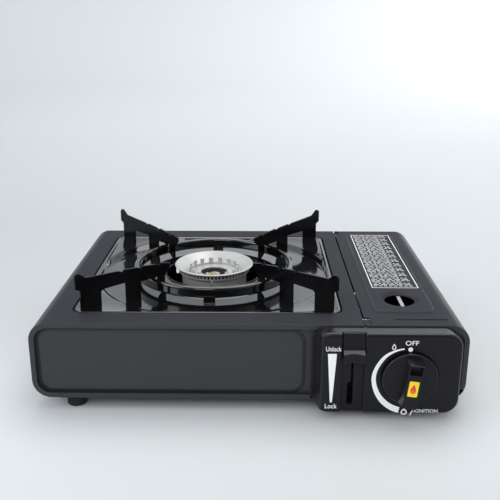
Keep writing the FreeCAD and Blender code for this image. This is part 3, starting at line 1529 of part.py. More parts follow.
def make_ignition_wire():
    """High-voltage lead, from the igniter's end under the tray to the electrode.

    The points are chosen by hand; each arc is as large as its shorter run allows."""
    y = num("-(igniter_front + igniter_back) / 2")
    z = num("igniter_high - wire_drop")
    x = num("burner_x")
    end_y = num("electrode_y")
    end_z = num("electrode_low")
    route = [
        Vector(num("igniter_left"), y, z),
        Vector(66, y, z),
        Vector(38, y + 3, z - 6),
        Vector(14, y + 16, z - 14),
        Vector(-6, y + 34, z - 22),
        Vector(-22, y + 54, z - 28),
        Vector(x + 3, y + 70, z - 28),
        Vector(x, y + 79, z - 20),
        Vector(x, end_y, end_z - 7),
        Vector(x, end_y, end_z),
    ]
    bends = []
    for i in range(1, len(route) - 1):
        before = route[i] - route[i - 1]
        after = route[i + 1] - route[i]
        turn = before.getAngle(after)
        bends.append(0.45 * min(before.Length, after.Length) / math.tan(turn / 2))
    solid, length = pipe(route, bends, num("wire_radius"))
    print("ignition wire length %.1f, bends %s" % (length, ", ".join("%.1f" % bend for bend in bends)))
    print("ignition wire volume %.1f of %.1f" % (solid.Volume, length * math.pi * num("wire_radius") ** 2))
    wire = doc.addObject("Part::Feature", "wire_lead")
    wire.Shape = solid
    node(wire, "ignition_wire")


# Lock lever and canister carriage

def make_lever():
    lever = body("lever")
    sheet_half = "-lever_thickness / 2"
    arm = sketch(lever, "YZ_Plane", "lever_arm_outline", sheet_half)
    draw_rectangle(arm, "-lever_reach", "0", "-lever_half_height", "lever_half_height")
    pad(lever, arm, "lever_thickness")
    hub = sketch(lever, "YZ_Plane", "lever_hub", sheet_half)
    draw_circle(hub, "0", "0", "lever_hub_radius")
    pad(lever, hub, "lever_thickness")
    rise = sketch(lever, "YZ_Plane", "lever_rise", sheet_half)
    draw_rectangle(rise, "-lever_arm_half_width", "lever_arm_half_width", "0",
                   "lever_arm + lever_arm_half_width")
    pad(lever, rise, "lever_thickness")
    holes = sketch(lever, "YZ_Plane", "lever_holes")
    draw_circle(holes, "0", "0", "pivot_radius + shaft_clearance")
    draw_circle(holes, "0", "lever_arm", "drive_pin_radius")
    pocket(lever, holes, both=True)
    node(lever, "lock_lever", "lever_x", LEVER_Y, "lever_z", Vector(-1, 0, 0), LEVER_REST)

    blade_low = "lever_x - lever_thickness / 2"
    blade_high = "lever_x + lever_thickness / 2"
    pivot = fuse("pivot", [
        rod("pivot_pin", "X", "pivot_radius", f"{blade_low} - lever_play - pivot_head", "wall_x",
            LEVER_Y, "lever_z"),
        rod("pivot_shoulder", "X", "pivot_shoulder_radius", f"{blade_high} + lever_play", "wall_x",
            LEVER_Y, "lever_z"),
        rod("pivot_head_disc", "X", "pivot_shoulder_radius", f"{blade_low} - lever_play - pivot_head",
            f"{blade_low} - lever_play", LEVER_Y, "lever_z"),
    ])
    node(pivot, "lever_pivot_pin")
    pin = rod("drive_rod", "X", "drive_pin_radius", blade_low, "drive_pin_end", PIN_REST_Y, PIN_REST_Z)
    node(group("drive_holder", [pin]), "drive_pin")


def make_lever_cap():
    cap = body("cap")
    drawing = sketch(cap, "YZ_Plane", "cap_outline", "cap_left")
    draw_polygon(drawing, [
        ("-cap_back", "cap_low"), ("-cap_front", "cap_low"), ("-cap_front", "cap_lip_high"),
        ("-cap_lip_back", "cap_lip_top"), ("-cap_top_front", "cap_high"), ("-cap_top_back", "cap_high"),
    ])
    pad(cap, drawing, "cap_right - cap_left")
    rib = sketch(cap, "XY_Plane", "cap_rib", "cap_lip_top + cap_rib_depth")
    pitch = "(cap_right - cap_left) / (cap_rib_count + 1)"
    first = f"cap_left + {pitch} - cap_rib_width / 2"
    draw_rectangle(rib, first, f"{first} + cap_rib_width", "-cap_lip_back - cap_rib_depth",
                   "-cap_lip_back + cap_rib_depth")
    groove = pocket(cap, rib, "cap_high", flip=True)
    linear(cap, groove, "X_Axis", f"{pitch} * (cap_rib_count - 1)", "cap_rib_count")
    reach = "-cap_front - cap_dish_radius + cap_dish_depth"
    dish = rod("cap_dish", "Z", "cap_dish_radius", "cap_low - overrun", "cap_lip_top", "lever_x", reach)
    blade = box("cap_slit", "lever_x - lever_thickness / 2", "lever_x + lever_thickness / 2",
                "-lever_reach", "0", "-lever_half_height", "lever_half_height")
    slit = group("cap_slit_turned", [blade])
    put(slit, axis=Vector(-1, 0, 0), turn=LEVER_REST)
    node(cut("cap_body", cap, [dish, slit]), "lever_cap", y=LEVER_Y, z="lever_z")


def make_carriage():
    x0 = CARRIAGE_X
    x1 = f"({CARRIAGE_X} + carriage_wall)"
    slide = "drive_pin_radius + slide_clearance"
    guide = "guide_radius + slide_clearance"
    pusher_y = "carriage_back - carriage_wall"
    disc = common("pusher", rod("pusher_disc", "Y", "pusher_radius", pusher_y, "carriage_back",
                                "bay_x", "bay_z"),
                  box("pusher_box", x0, "pusher_right", pusher_y, "carriage_back",
                      "bay_z - pusher_radius", "bay_z + pusher_radius"))
    tools = [box("carriage_pin_slot", f"{x0} - overrun", f"{x1} + overrun", f"{PIN_REST_Y} - ({slide})",
                 f"{PIN_REST_Y} + {slide}", f"{PIN_REST_Z} - ({slide})",
                 f"lever_z + lever_arm + {slide}")]
    guides = []
    for word in ("front", "back"):
        y = f"guide_{word}_y"
        z = "(carriage_low + carriage_high) / 2"
        tools.append(box(f"carriage_slot_{word}", f"{x0} - overrun", f"{x1} + overrun", f"{y} - ({guide})",
                         f"{y} + carriage_travel + {guide}", f"{z} - ({guide})", f"{z} + {guide}"))
        head = f"({x1} + lever_play)"
        guides.append(fuse(f"guide_{word}", [
            rod(f"guide_{word}_pin", "X", "guide_radius", WALL_FACE, f"{head} + guide_head", y, z),
            rod(f"guide_{word}_head", "X", "guide_head_radius", head, f"{head} + guide_head", y, z),
        ]))
    strip = fuse("carriage_body", [
        box("carriage_strip", x0, x1, "carriage_front", "carriage_back", "carriage_low", "carriage_high"),
        box("pusher_arm", x0, "bay_x", pusher_y, "carriage_back", "carriage_low", "carriage_high"),
        disc,
    ])
    node(cut("carriage", strip, tools), "canister_carriage")
    node(group("guide_group", guides), "carriage_guides")


# Drip tray and pan support

def make_drip_tray():
    tray = body("tray")
    half_x = "(well_width / 2 - tray_gap)"
    half_y = "(well_depth / 2 - tray_gap)"

    def outline(drawing, shrink):
        draw_rounded(drawing, f"-{half_x} + {shrink}", f"{half_x} - ({shrink})",
                     f"-{half_y} + {shrink}", f"{half_y} - ({shrink})", f"tray_corner - ({shrink})")

    low = "(tray_seat_gap - well_drop)"
    top_face = "(-tray_rim_rise)"
    block = sketch(tray, "XY_Plane", "tray_block", low)
    outline(block, "tray_wall / 2")
    pad(tray, block, f"{top_face} - {low}")
    top = sketch(tray, "XZ_Plane", "tray_bowl")
    draw_polygon(top, [
        ("0", "tray_plateau"), ("tray_plateau_radius", "tray_plateau"),
        ("tray_plateau_radius + tray_plateau - tray_floor", "tray_floor"),
        ("tray_floor_radius", "tray_floor"), ("tray_step_radius", top_face),
        ("tray_step_radius", "tray_rim_rise"), ("0", "tray_rim_rise"),
    ])
    revolve(tray, top, "Groove")
    under = sketch(tray, "XZ_Plane", "tray_under")
    slant = "(tray_sheet / 2)"
    draw_polygon(under, [
        ("0", "tray_plateau - tray_sheet"), (f"tray_plateau_radius - {slant}", "tray_plateau - tray_sheet"),
        (f"tray_plateau_radius + tray_plateau - tray_floor - {slant}", "tray_floor - tray_sheet"),
        (f"tray_floor_radius + {slant}", "tray_floor - tray_sheet"),
        (f"tray_step_radius + {slant}", f"{top_face} - tray_sheet"),
        ("well_width", f"{top_face} - tray_sheet"), ("well_width", f"{low} - overrun"),
        ("0", f"{low} - overrun"),
    ])
    revolve(tray, under, "Groove")
    skirt = sketch(tray, "XY_Plane", "tray_skirt", low)
    outline(skirt, "0")
    outline(skirt, "tray_wall")
    pad(tray, skirt, f"{top_face} - {low}")
    rim = sketch(tray, "XY_Plane", "tray_rim", "-tray_rim_height")
    outline(rim, "0")
    outline(rim, "tray_rim_width")
    pad(tray, rim, "tray_rim_height")
    dress(tray, "Fillet", "tray_rim_rise - sheet_wall / 10", lambda edge: at_level(edge, "Z", 0))
    hole = sketch(tray, "XY_Plane", "tray_hole", "tray_plateau")
    draw_circle(hole, "0", "0", "tray_hole_radius")
    pocket(tray, hole, "tray_sheet")
    collar = sketch(tray, "XY_Plane", "tray_collar", "tray_plateau - tray_sheet")
    draw_circle(collar, "0", "0", "tray_hole_radius + tray_wall")
    draw_circle(collar, "0", "0", "tray_hole_radius")
    pad(tray, collar, "tray_collar - tray_plateau + tray_sheet")
    node(tray, "drip_tray", x="burner_x", z=CASE_TOP)


def arm_corners():
    """Outline of one pan-support arm: distance from the burner, height over the casing."""
    def notch(centre, high):
        return [
            (f"{centre} + notch_half_width", high), (centre, f"{high} - notch_drop"),
            (f"{centre} - notch_half_width / 3", high),
        ]

    corners = [
        ("arm_leg_inner", "-tray_rim_rise"), ("arm_leg_outer", "-tray_rim_rise"),
        ("arm_leg_outer", "arm_shoulder"),
        ("arm_outer", "arm_shoulder + notch_drop"), ("arm_outer", "horn_high - notch_drop"),
        ("arm_outer - notch_drop", "horn_high"), ("arm_outer - notch_half_width", "horn_high"),
        ("horn_inner", "horn_foot"),
    ]
    for name in ("outer", "middle", "inner"):
        corners += notch(f"notch_{name}", f"notch_{name}_high")
    corners += [
        ("arm_inner", "arm_inner_high"), ("arm_inner", "arm_inner_high - notch_half_width"),
        ("inner_leg_inner", "window_middle_high"), ("inner_leg_inner", "tray_plateau"),
        ("inner_leg_outer - notch_half_width", "tray_plateau"),
        ("inner_leg_outer", "tray_plateau + notch_half_width"),
        ("inner_leg_outer", "window_middle_high"),
        ("ring_radius - ring_half_width - ring_clearance", "window_middle_high"),
        ("ring_radius - ring_half_width - ring_clearance", "ring_high + ring_clearance"),
        ("ring_radius + ring_half_width + ring_clearance", "ring_high + ring_clearance"),
        ("ring_radius + ring_half_width + ring_clearance", "window_middle_high"),
        ("mid_leg_inner", "window_middle_high"), ("mid_leg_inner", "tray_floor"),
        ("mid_leg_outer", "tray_floor"), ("mid_leg_outer", "window_outer_high"),
        ("arm_leg_inner", "window_outer_high"),
    ]
    return corners


def make_pan_support():
    for i, word in enumerate(("back_right", "back_left", "front_left", "front_right")):
        arm = body("arm_" + word)
        drawing = sketch(arm, "XZ_Plane", "arm_outline_" + word)
        draw_polygon(drawing, arm_corners())
        pad(arm, drawing, "arm_thickness", both=True)
        window_top = num("window_outer_high")
        inner = num("arm_leg_inner")

        def corner(edge):
            box_ = edge.BoundBox
            return (box_.YLength > num("arm_thickness") / 2 and abs(box_.ZMax - window_top) < 0.01
                    and box_.XMax > inner - 1)

        dress(arm, "Fillet", "window_round", corner)
        turn = "arm_angle" if i == 0 else f"arm_angle + {90 * i}"
        node(arm, f"pan_support_arm_{word}", "burner_x", "0", CASE_TOP, Vector(0, 0, 1), turn)

    ring = body("ring")
    section = sketch(ring, "XZ_Plane", "ring_section")
    draw_rounded(section, "ring_radius - ring_half_width", "ring_radius + ring_half_width",
                 "ring_low", "ring_high", "ring_round")
    revolve(ring, section)
    foot = sketch(ring, "XY_Plane", "ring_foot", "tray_floor")
    outer = "ring_radius + ring_foot_wall / 2"
    draw_rectangle(foot, "-ring_foot_width / 2", "ring_foot_width / 2", f"-({outer})",
                   f"-({outer}) + ring_foot_wall")
    leg = pad(ring, foot, "(ring_low + ring_high) / 2 - tray_floor")
    polar(ring, leg, "Z_Axis", "4")
    node(ring, "support_ring", x="burner_x", z=CASE_TOP)


make_top_cover()
make_front_panel()
make_rear_panel()
make_base_plate()
make_partition_wall()
make_canister_cradle()
make_control_panel()
make_feet()
make_casing_screws()
make_lid()
make_hinges()
make_knob()
make_valve()
make_gas_line()
make_burner()
make_heat_conductor()
make_igniter()
make_ignition_wire()
make_lever()
make_lever_cap()
make_carriage()
make_drip_tray()
make_pan_support()
doc.recompute()

for item in doc.Objects:
    if "Invalid" in item.State or "Error" in item.State:
        raise RuntimeError("%s failed: %s" % (item.Label, item.State))

os.makedirs("parts", exist_ok=True)
whole = FreeCAD.BoundBox()
for item in nodes:
    shape = item.Shape
    if shape.isNull() or not shape.isValid() or not shape.Solids:
        raise RuntimeError("%s has no valid solid" % item.Label)
    whole.add(shape.BoundBox)
    print("%-28s %d solid(s) %10.1f mm3" % (item.Label, len(shape.Solids), shape.Volume))
    shape.exportStep("parts/%s.step" % item.Label)
print("%d sub-parts, x %.2f %.2f, y %.2f %.2f, z %.2f %.2f" % (
    len(nodes), whole.XMin, whole.XMax, whole.YMin, whole.YMax, whole.ZMin, whole.ZMax))
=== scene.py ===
import json
import math

import bmesh
import bpy
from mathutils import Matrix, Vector

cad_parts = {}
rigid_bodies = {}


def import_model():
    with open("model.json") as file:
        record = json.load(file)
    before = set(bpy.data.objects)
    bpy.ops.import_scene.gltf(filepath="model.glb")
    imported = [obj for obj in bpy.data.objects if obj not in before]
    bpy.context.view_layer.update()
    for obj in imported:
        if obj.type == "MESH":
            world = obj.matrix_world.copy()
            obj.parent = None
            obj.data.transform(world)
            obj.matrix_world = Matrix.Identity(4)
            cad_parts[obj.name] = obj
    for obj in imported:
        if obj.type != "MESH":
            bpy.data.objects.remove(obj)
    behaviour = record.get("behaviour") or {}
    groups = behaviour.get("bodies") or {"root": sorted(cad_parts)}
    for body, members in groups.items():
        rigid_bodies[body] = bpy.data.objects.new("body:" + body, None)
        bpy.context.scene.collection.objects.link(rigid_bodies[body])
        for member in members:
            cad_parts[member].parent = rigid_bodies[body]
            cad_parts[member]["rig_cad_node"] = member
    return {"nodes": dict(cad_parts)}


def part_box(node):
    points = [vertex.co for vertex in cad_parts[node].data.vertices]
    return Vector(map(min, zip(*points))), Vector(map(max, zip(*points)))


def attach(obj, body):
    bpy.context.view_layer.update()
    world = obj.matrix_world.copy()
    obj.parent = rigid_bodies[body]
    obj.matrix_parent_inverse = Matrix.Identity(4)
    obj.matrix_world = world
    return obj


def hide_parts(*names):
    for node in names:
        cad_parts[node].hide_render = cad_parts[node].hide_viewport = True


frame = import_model()
for extra in [item for item in bpy.data.objects if item.type != "EMPTY" and "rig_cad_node" not in item]:
    bpy.data.objects.remove(extra)
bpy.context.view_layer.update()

bl_info = {
    "name": "Cassette stove",
    "version": (1, 0, 0),
    "blender": (4, 5, 0),
    "location": "3D View > Sidebar > Stove",
    "description": "Enamel, mouldings, prints and studio for a butane cassette stove",
    "category": "Object",
}

MM = 0.001
TURN = 2 * math.pi
SAME = 0.01 * MM         # points this close count as one
NEAR = 0.1 * MM          # faces and edges this close to a plane count as lying in it


def middle(node):
    """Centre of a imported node's box."""
    low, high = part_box(node)
    return (low + high) / 2


# Settings that a user would change

class StageSettings(bpy.types.PropertyGroup):
    floor_colour: bpy.props.FloatVectorProperty(
        name="Floor", description="Tint of the table top and the backdrop",
        subtype="COLOR", size=3, min=0, max=1, default=(0.885, 0.92, 0.945))
    sky_colour: bpy.props.FloatVectorProperty(
        name="Surround", description="Pale studio surround that glossy faces show",
        subtype="COLOR", size=3, min=0, max=1, default=(0.93, 0.95, 0.975))
    sky_light: bpy.props.FloatProperty(
        name="Surround light", description="How strongly the surround lights the stove",
        min=0, max=2, default=0.78)
    key_power: bpy.props.FloatProperty(
        name="Overhead lamp", description="Power of the soft lamp above", unit="POWER", min=0, default=20)
    side_power: bpy.props.FloatProperty(
        name="Side lamp", description="Power of the soft lamp on the left", unit="POWER", min=0, default=9)
    front_power: bpy.props.FloatProperty(
        name="Front lamp", description="Power of the soft lamp in front", unit="POWER", min=0, default=10)
    backdrop_power: bpy.props.FloatProperty(
        name="Backdrop lamp", description="Power of the lamp on the backdrop's right", unit="POWER", min=0,
        default=30)
    lens: bpy.props.FloatProperty(
        name="Lens", description="Focal length", unit="CAMERA", min=10, default=52.88)


class FinishSettings(bpy.types.PropertyGroup):
    charcoal: bpy.props.FloatVectorProperty(
        name="Casing paint", description="Satin charcoal enamel of the casing",
        subtype="COLOR", size=3, min=0, max=1, default=(0.036, 0.037, 0.043))
    enamel: bpy.props.FloatVectorProperty(
        name="Gloss enamel", description="Vitreous enamel of the tray and the pan support",
        subtype="COLOR", size=3, min=0, max=1, default=(0.0035, 0.0035, 0.0042))
    moulding: bpy.props.FloatVectorProperty(
        name="Moulding", description="Black moulded plastic of the controls",
        subtype="COLOR", size=3, min=0, max=1, default=(0.0105, 0.0100, 0.0135))
    alloy: bpy.props.FloatVectorProperty(
        name="Burner alloy", description="Turned aluminium of the burner",
        subtype="COLOR", size=3, min=0, max=1, default=(0.52, 0.52, 0.515))
    ink: bpy.props.FloatVectorProperty(
        name="White ink", description="Printed marks",
        subtype="COLOR", size=3, min=0, max=1, default=(1.0, 1.0, 1.0))
    yellow: bpy.props.FloatVectorProperty(
        name="Sticker yellow", description="Ground of the knob sticker",
        subtype="COLOR", size=3, min=0, max=1, default=(0.95, 0.72, 0.008))
    red: bpy.props.FloatVectorProperty(
        name="Sticker red", description="Flame of the knob sticker",
        subtype="COLOR", size=3, min=0, max=1, default=(0.80, 0.035, 0.010))
    edge_round: bpy.props.FloatProperty(
        name="Edge softness", description="Radius that edges of the solids appear to have",
        unit="LENGTH", min=0, default=0.0005)


class TraySettings(bpy.types.PropertyGroup):
    sheet: bpy.props.FloatProperty(
        name="Sheet", description="Thickness of the tray's steel", unit="LENGTH", min=0.0002, default=0.0008)
    corner: bpy.props.FloatProperty(
        name="Corner", description="Radius of the tray's corners", unit="LENGTH", min=0.001, default=0.009)
    dish: bpy.props.FloatProperty(
        name="Dish", description="Radius of the dish at its rim", unit="LENGTH", min=0.06, default=0.1115)
    steps: bpy.props.IntProperty(
        name="Steps", description="Points along one quarter outside its corner", min=12, default=84)


class KnobSettings(bpy.types.PropertyGroup):
    radius: bpy.props.FloatProperty(
        name="Radius", description="Radius of the knob's disc", unit="LENGTH", min=0.005, default=0.0213)
    thickness: bpy.props.FloatProperty(
        name="Thickness", description="Thickness of the disc", unit="LENGTH", min=0.001, default=0.0036)
    grip_rise: bpy.props.FloatProperty(
        name="Grip", description="How far the grip stands off the disc", unit="LENGTH", min=0.001,
        default=0.0115)
    grip_width: bpy.props.FloatProperty(
        name="Grip width", description="Width of the grip where it meets the disc",
        unit="LENGTH", min=0.004, default=0.0138)
    grip_crest: bpy.props.FloatProperty(
        name="Grip crest", description="Width of the grip's front", unit="LENGTH", min=0.003, default=0.0110)
    grip_head: bpy.props.FloatProperty(
        name="Grip head", description="Length of the grip over the axis", unit="LENGTH", min=0.004,
        default=0.0174)
    grip_tail: bpy.props.FloatProperty(
        name="Grip tail", description="Length of the grip under the axis", unit="LENGTH", min=0.004,
        default=0.0184)
    pocket_middle: bpy.props.FloatProperty(
        name="Pocket middle", description="Height of the grip's pocket over the axis", unit="LENGTH",
        default=0.0132)
    pocket_height: bpy.props.FloatProperty(
        name="Pocket height", description="Height of the grip's pocket", unit="LENGTH", min=0.001,
        default=0.0072)
    pocket_depth: bpy.props.FloatProperty(
        name="Pocket depth", description="Depth of the grip's pocket", unit="LENGTH", min=0.001,
        default=0.006)
    pocket_wall: bpy.props.FloatProperty(
        name="Pocket wall", description="Wall on each side of the pocket", unit="LENGTH", min=0.0002,
        default=0.0009)
    tilt: bpy.props.FloatProperty(
        name="Turned by", description="How far the knob stands from upright",
        unit="ROTATION", default=math.radians(7))
    sticker_width: bpy.props.FloatProperty(
        name="Sticker width", description="Width of the sticker", unit="LENGTH", min=0.001, default=0.0074)
    sticker_height: bpy.props.FloatProperty(
        name="Sticker height", description="Height of the sticker", unit="LENGTH", min=0.001, default=0.0126)
    sticker_drop: bpy.props.FloatProperty(
        name="Sticker drop", description="How far the sticker's middle lies under the axis", unit="LENGTH",
        default=0.0014)
    sticker_thickness: bpy.props.FloatProperty(
        name="Sticker thickness", description="Thickness of the sticker", unit="LENGTH", min=0.00005,
        default=0.00028)


# The band of painted shade that darkens the bottom of the burner's flame slots
class BurnerSettings(bpy.types.PropertyGroup):
    shade_band_radius: bpy.props.FloatProperty(
        name="Shade band radius", description="Outer radius of the dark band", unit="LENGTH", min=0.01,
        default=0.03235)
    shade_band_height: bpy.props.FloatProperty(
        name="Shade band height", description="Height of the dark band", unit="LENGTH", min=0.0005, default=0.0027)
    shade_band_thickness: bpy.props.FloatProperty(
        name="Shade band thickness", description="Thickness of the dark band", unit="LENGTH", min=0.0001,
        default=0.0003)
    shade_band_level: bpy.props.FloatProperty(
        name="Shade band level", description="Height of the dark band's middle over the ground", unit="LENGTH",
        min=0, default=0.07695)


class PrintSettings(bpy.types.PropertyGroup):
    ink_height: bpy.props.FloatProperty(
        name="Ink", description="Thickness of the printed film", unit="LENGTH", min=0.00002, default=0.00008)
    off_word: bpy.props.StringProperty(name="Off", description="Word at the dial's top", default="OFF")
    ignite_word: bpy.props.StringProperty(
        name="Ignite", description="Word at the dial's foot", default="IGNITION")
    lock_word: bpy.props.StringProperty(name="Lock", description="Word under the wedge", default="Lock")
    unlock_word: bpy.props.StringProperty(name="Unlock", description="Word over the wedge", default="Unlock")
    ruled_lines: bpy.props.IntProperty(
        name="Ruled lines", description="Rows of dashes in the box on the lid", min=1, default=46)


# Modelling

def let_go():
    """Leave edit mode and deselect everything."""
    if bpy.context.object and bpy.context.object.mode != "OBJECT":
        bpy.ops.object.mode_set(mode="OBJECT")
    bpy.ops.object.select_all(action="DESELECT")


def start(name, primitive, **settings):
    let_go()
    primitive(**settings)
    piece = bpy.context.active_object
    piece.name = name
    piece.data.name = name
    return piece


def take(piece):
    let_go()
    piece.select_set(True)
    bpy.context.view_layer.objects.active = piece


def edit(piece, mode="FACE"):
    take(piece)
    bpy.ops.object.mode_set(mode="EDIT")
    bpy.ops.mesh.select_mode(type=mode)
    bpy.ops.mesh.select_all(action="DESELECT")


def pick(piece, test, kind="faces"):
    """Select, in edit mode, the faces, edges or points whose middle passes the test."""
    mesh = bmesh.from_edit_mesh(piece.data)
    for item in list(mesh.faces) + list(mesh.edges) + list(mesh.verts):
        item.select = False
    for item in getattr(mesh, kind):
        if kind == "faces":
            centre = item.calc_center_median()
        elif kind == "edges":
            centre = (item.verts[0].co + item.verts[1].co) / 2
        else:
            centre = item.co
        if test(centre, item):
            item.select_set(True)
    mesh.select_flush_mode()
    bmesh.update_edit_mesh(piece.data)


def apply_modifier(piece, kind, **settings):
    take(piece)
    modifier = piece.modifiers.new(kind.title(), kind)
    for key, value in settings.items():
        setattr(modifier, key, value)
    bpy.ops.object.modifier_apply(modifier=modifier.name)


def combine(piece, other, operation):
    apply_modifier(piece, "BOOLEAN", object=other, operation=operation, solver="EXACT")
    bpy.data.objects.remove(other)


def settle(piece, location=(0, 0, 0), rotation=(0, 0, 0), smooth=30):
    """Put the piece in place, with its place in its mesh, and shade it."""
    take(piece)
    piece.location = location
    piece.rotation_euler = rotation
    bpy.ops.object.transform_apply(location=True, rotation=True, scale=True)
    bpy.ops.object.shade_smooth_by_angle(angle=math.radians(smooth))
    let_go()


def clean(piece):
    """Close seams and turn every face outwards."""
    edit(piece)
    bpy.ops.mesh.select_all(action="SELECT")
    bpy.ops.mesh.remove_doubles(threshold=SAME)
    bpy.ops.mesh.normals_make_consistent(inside=False)
    let_go()


def dress(piece, finish, body, nodes=()):
    """Give the piece its finish, the body it rides on and the nodes it stands for."""
    piece.data.materials.clear()
    piece.data.materials.append(finish)
    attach(piece, body)
    if nodes:
        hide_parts(*nodes)


# Finishes

COAT_ROUGHNESS = 0.05
GRAIN_SHARE = 0.35       # how much of the roughness follows the fine grain, and not the patches


def feed(tree, socket, value):
    """Link the value where it comes from another node, and set it otherwise."""
    if isinstance(value, bpy.types.NodeSocket):
        tree.links.new(value, socket)
    else:
        socket.default_value = value


def add_node(tree, kind, settings=None, **sockets):
    made = tree.nodes.new(kind)
    for key, value in (settings or {}).items():
        setattr(made, key, value)
    for key, value in sockets.items():
        feed(tree, made.inputs[key.replace("_", " ")], value)
    return made


def reckon(tree, operation, *values):
    """Result of one arithmetic node."""
    made = add_node(tree, "ShaderNodeMath", {"operation": operation})
    for socket, value in zip(made.inputs, values):
        feed(tree, socket, value)
    return made.outputs[0]


def blend_colours(tree, factor, first, second, blend="MIX"):
    mix = add_node(tree, "ShaderNodeMix", {"data_type": "RGBA", "blend_type": blend})
    for index, value in ((0, factor), (6, first), (7, second)):
        feed(tree, mix.inputs[index], value)
    return mix.outputs[2]


def shade_around(colour, share):
    """The colour a share darker and a share lighter."""
    return [c * (1 - share) for c in colour] + [1], [min(1, c * (1 + share)) for c in colour] + [1]


def blend_light(tree, factor, first, second):
    mix = tree.nodes.new("ShaderNodeMixShader")
    for socket, value in zip(mix.inputs, (factor, first, second)):
        feed(tree, socket, value)
    return mix.outputs[0]


def spread(tree, value, low, high, start_at=0.3, end_at=0.7):
    """The value's range from start_at to end_at, spread over low to high."""
    return add_node(
        tree, "ShaderNodeMapRange", Value=value, From_Min=start_at, From_Max=end_at, To_Min=low, To_Max=high,
    ).outputs["Result"]


def blank(name):
    """A new material's tree, its shader and the place on the object."""
    material = bpy.data.materials.new(name)
    material.use_nodes = True
    tree = material.node_tree
    place = add_node(tree, "ShaderNodeTexCoord").outputs["Object"]
    return tree, tree.nodes["Principled BSDF"], place


def surface(name, colour, shade, rough, grain, lump, patch, metal=0.0, gloss=0.5, facing=None, coat=0.0,
            soft=True, around=None, rings=0, ring_depth=0.0):
    """A painted, moulded or metal surface: colour that drifts, roughness in patches, a fine grain and
    rounded edges. With facing, an axis, two slants and a gloss, the gloss changes to that one from the first
    slant to the second. With around, turning marks run about that upright axis."""
    tree, shader, place = blank(name)
    darker, lighter = shade_around(colour, shade)
    patches = add_node(tree, "ShaderNodeTexNoise", Vector=place, Scale=patch, Detail=4.0)
    fine = add_node(tree, "ShaderNodeTexNoise", Vector=place, Scale=grain, Detail=3.0, Roughness=0.6)
    mottled = blend_colours(tree, spread(tree, patches.outputs["Fac"], 0, 1), darker, lighter)
    tree.links.new(mottled, shader.inputs["Base Color"])
    rough_drift = add_node(tree, "ShaderNodeMix", Factor=GRAIN_SHARE, A=patches.outputs["Fac"],
                           B=fine.outputs["Fac"]).outputs[0]
    tree.links.new(spread(tree, rough_drift, rough[0], rough[1]), shader.inputs["Roughness"])
    shader.inputs["Metallic"].default_value = metal
    shader.inputs["Specular IOR Level"].default_value = gloss
    if facing:
        axis, first, last, calm = facing
        normal = add_node(tree, "ShaderNodeTexCoord").outputs["Normal"]
        slant = add_node(tree, "ShaderNodeSeparateXYZ", Vector=normal).outputs[axis]
        tree.links.new(spread(tree, slant, gloss, calm, first, last), shader.inputs["Specular IOR Level"])
    if coat:
        shader.inputs["Coat Weight"].default_value = coat
        shader.inputs["Coat Roughness"].default_value = COAT_ROUGHNESS
    edge = {}
    if soft:
        radius = bpy.context.scene.stove_finish.edge_round
        edge["Normal"] = add_node(tree, "ShaderNodeBevel", {"samples": 6}, Radius=radius).outputs["Normal"]
    bump = add_node(tree, "ShaderNodeBump", Height=fine.outputs["Fac"], Distance=lump, Strength=1.0, **edge)
    if around:
        centred = add_node(
            tree, "ShaderNodeMapping", Vector=place, Location=(-around[0], -around[1], 0)).outputs["Vector"]
        wave = add_node(
            tree, "ShaderNodeTexWave", {"wave_type": "RINGS", "rings_direction": "Z"}, Vector=centred,
            Scale=rings, Distortion=1.5, Detail=2.0, Detail_Scale=2.0)
        bump = add_node(
            tree, "ShaderNodeBump", Height=wave.outputs["Fac"], Distance=ring_depth, Strength=1.0,
            Normal=bump.outputs["Normal"])
    tree.links.new(bump.outputs["Normal"], shader.inputs["Normal"])


def find_finish(name):
    return bpy.data.materials[name]


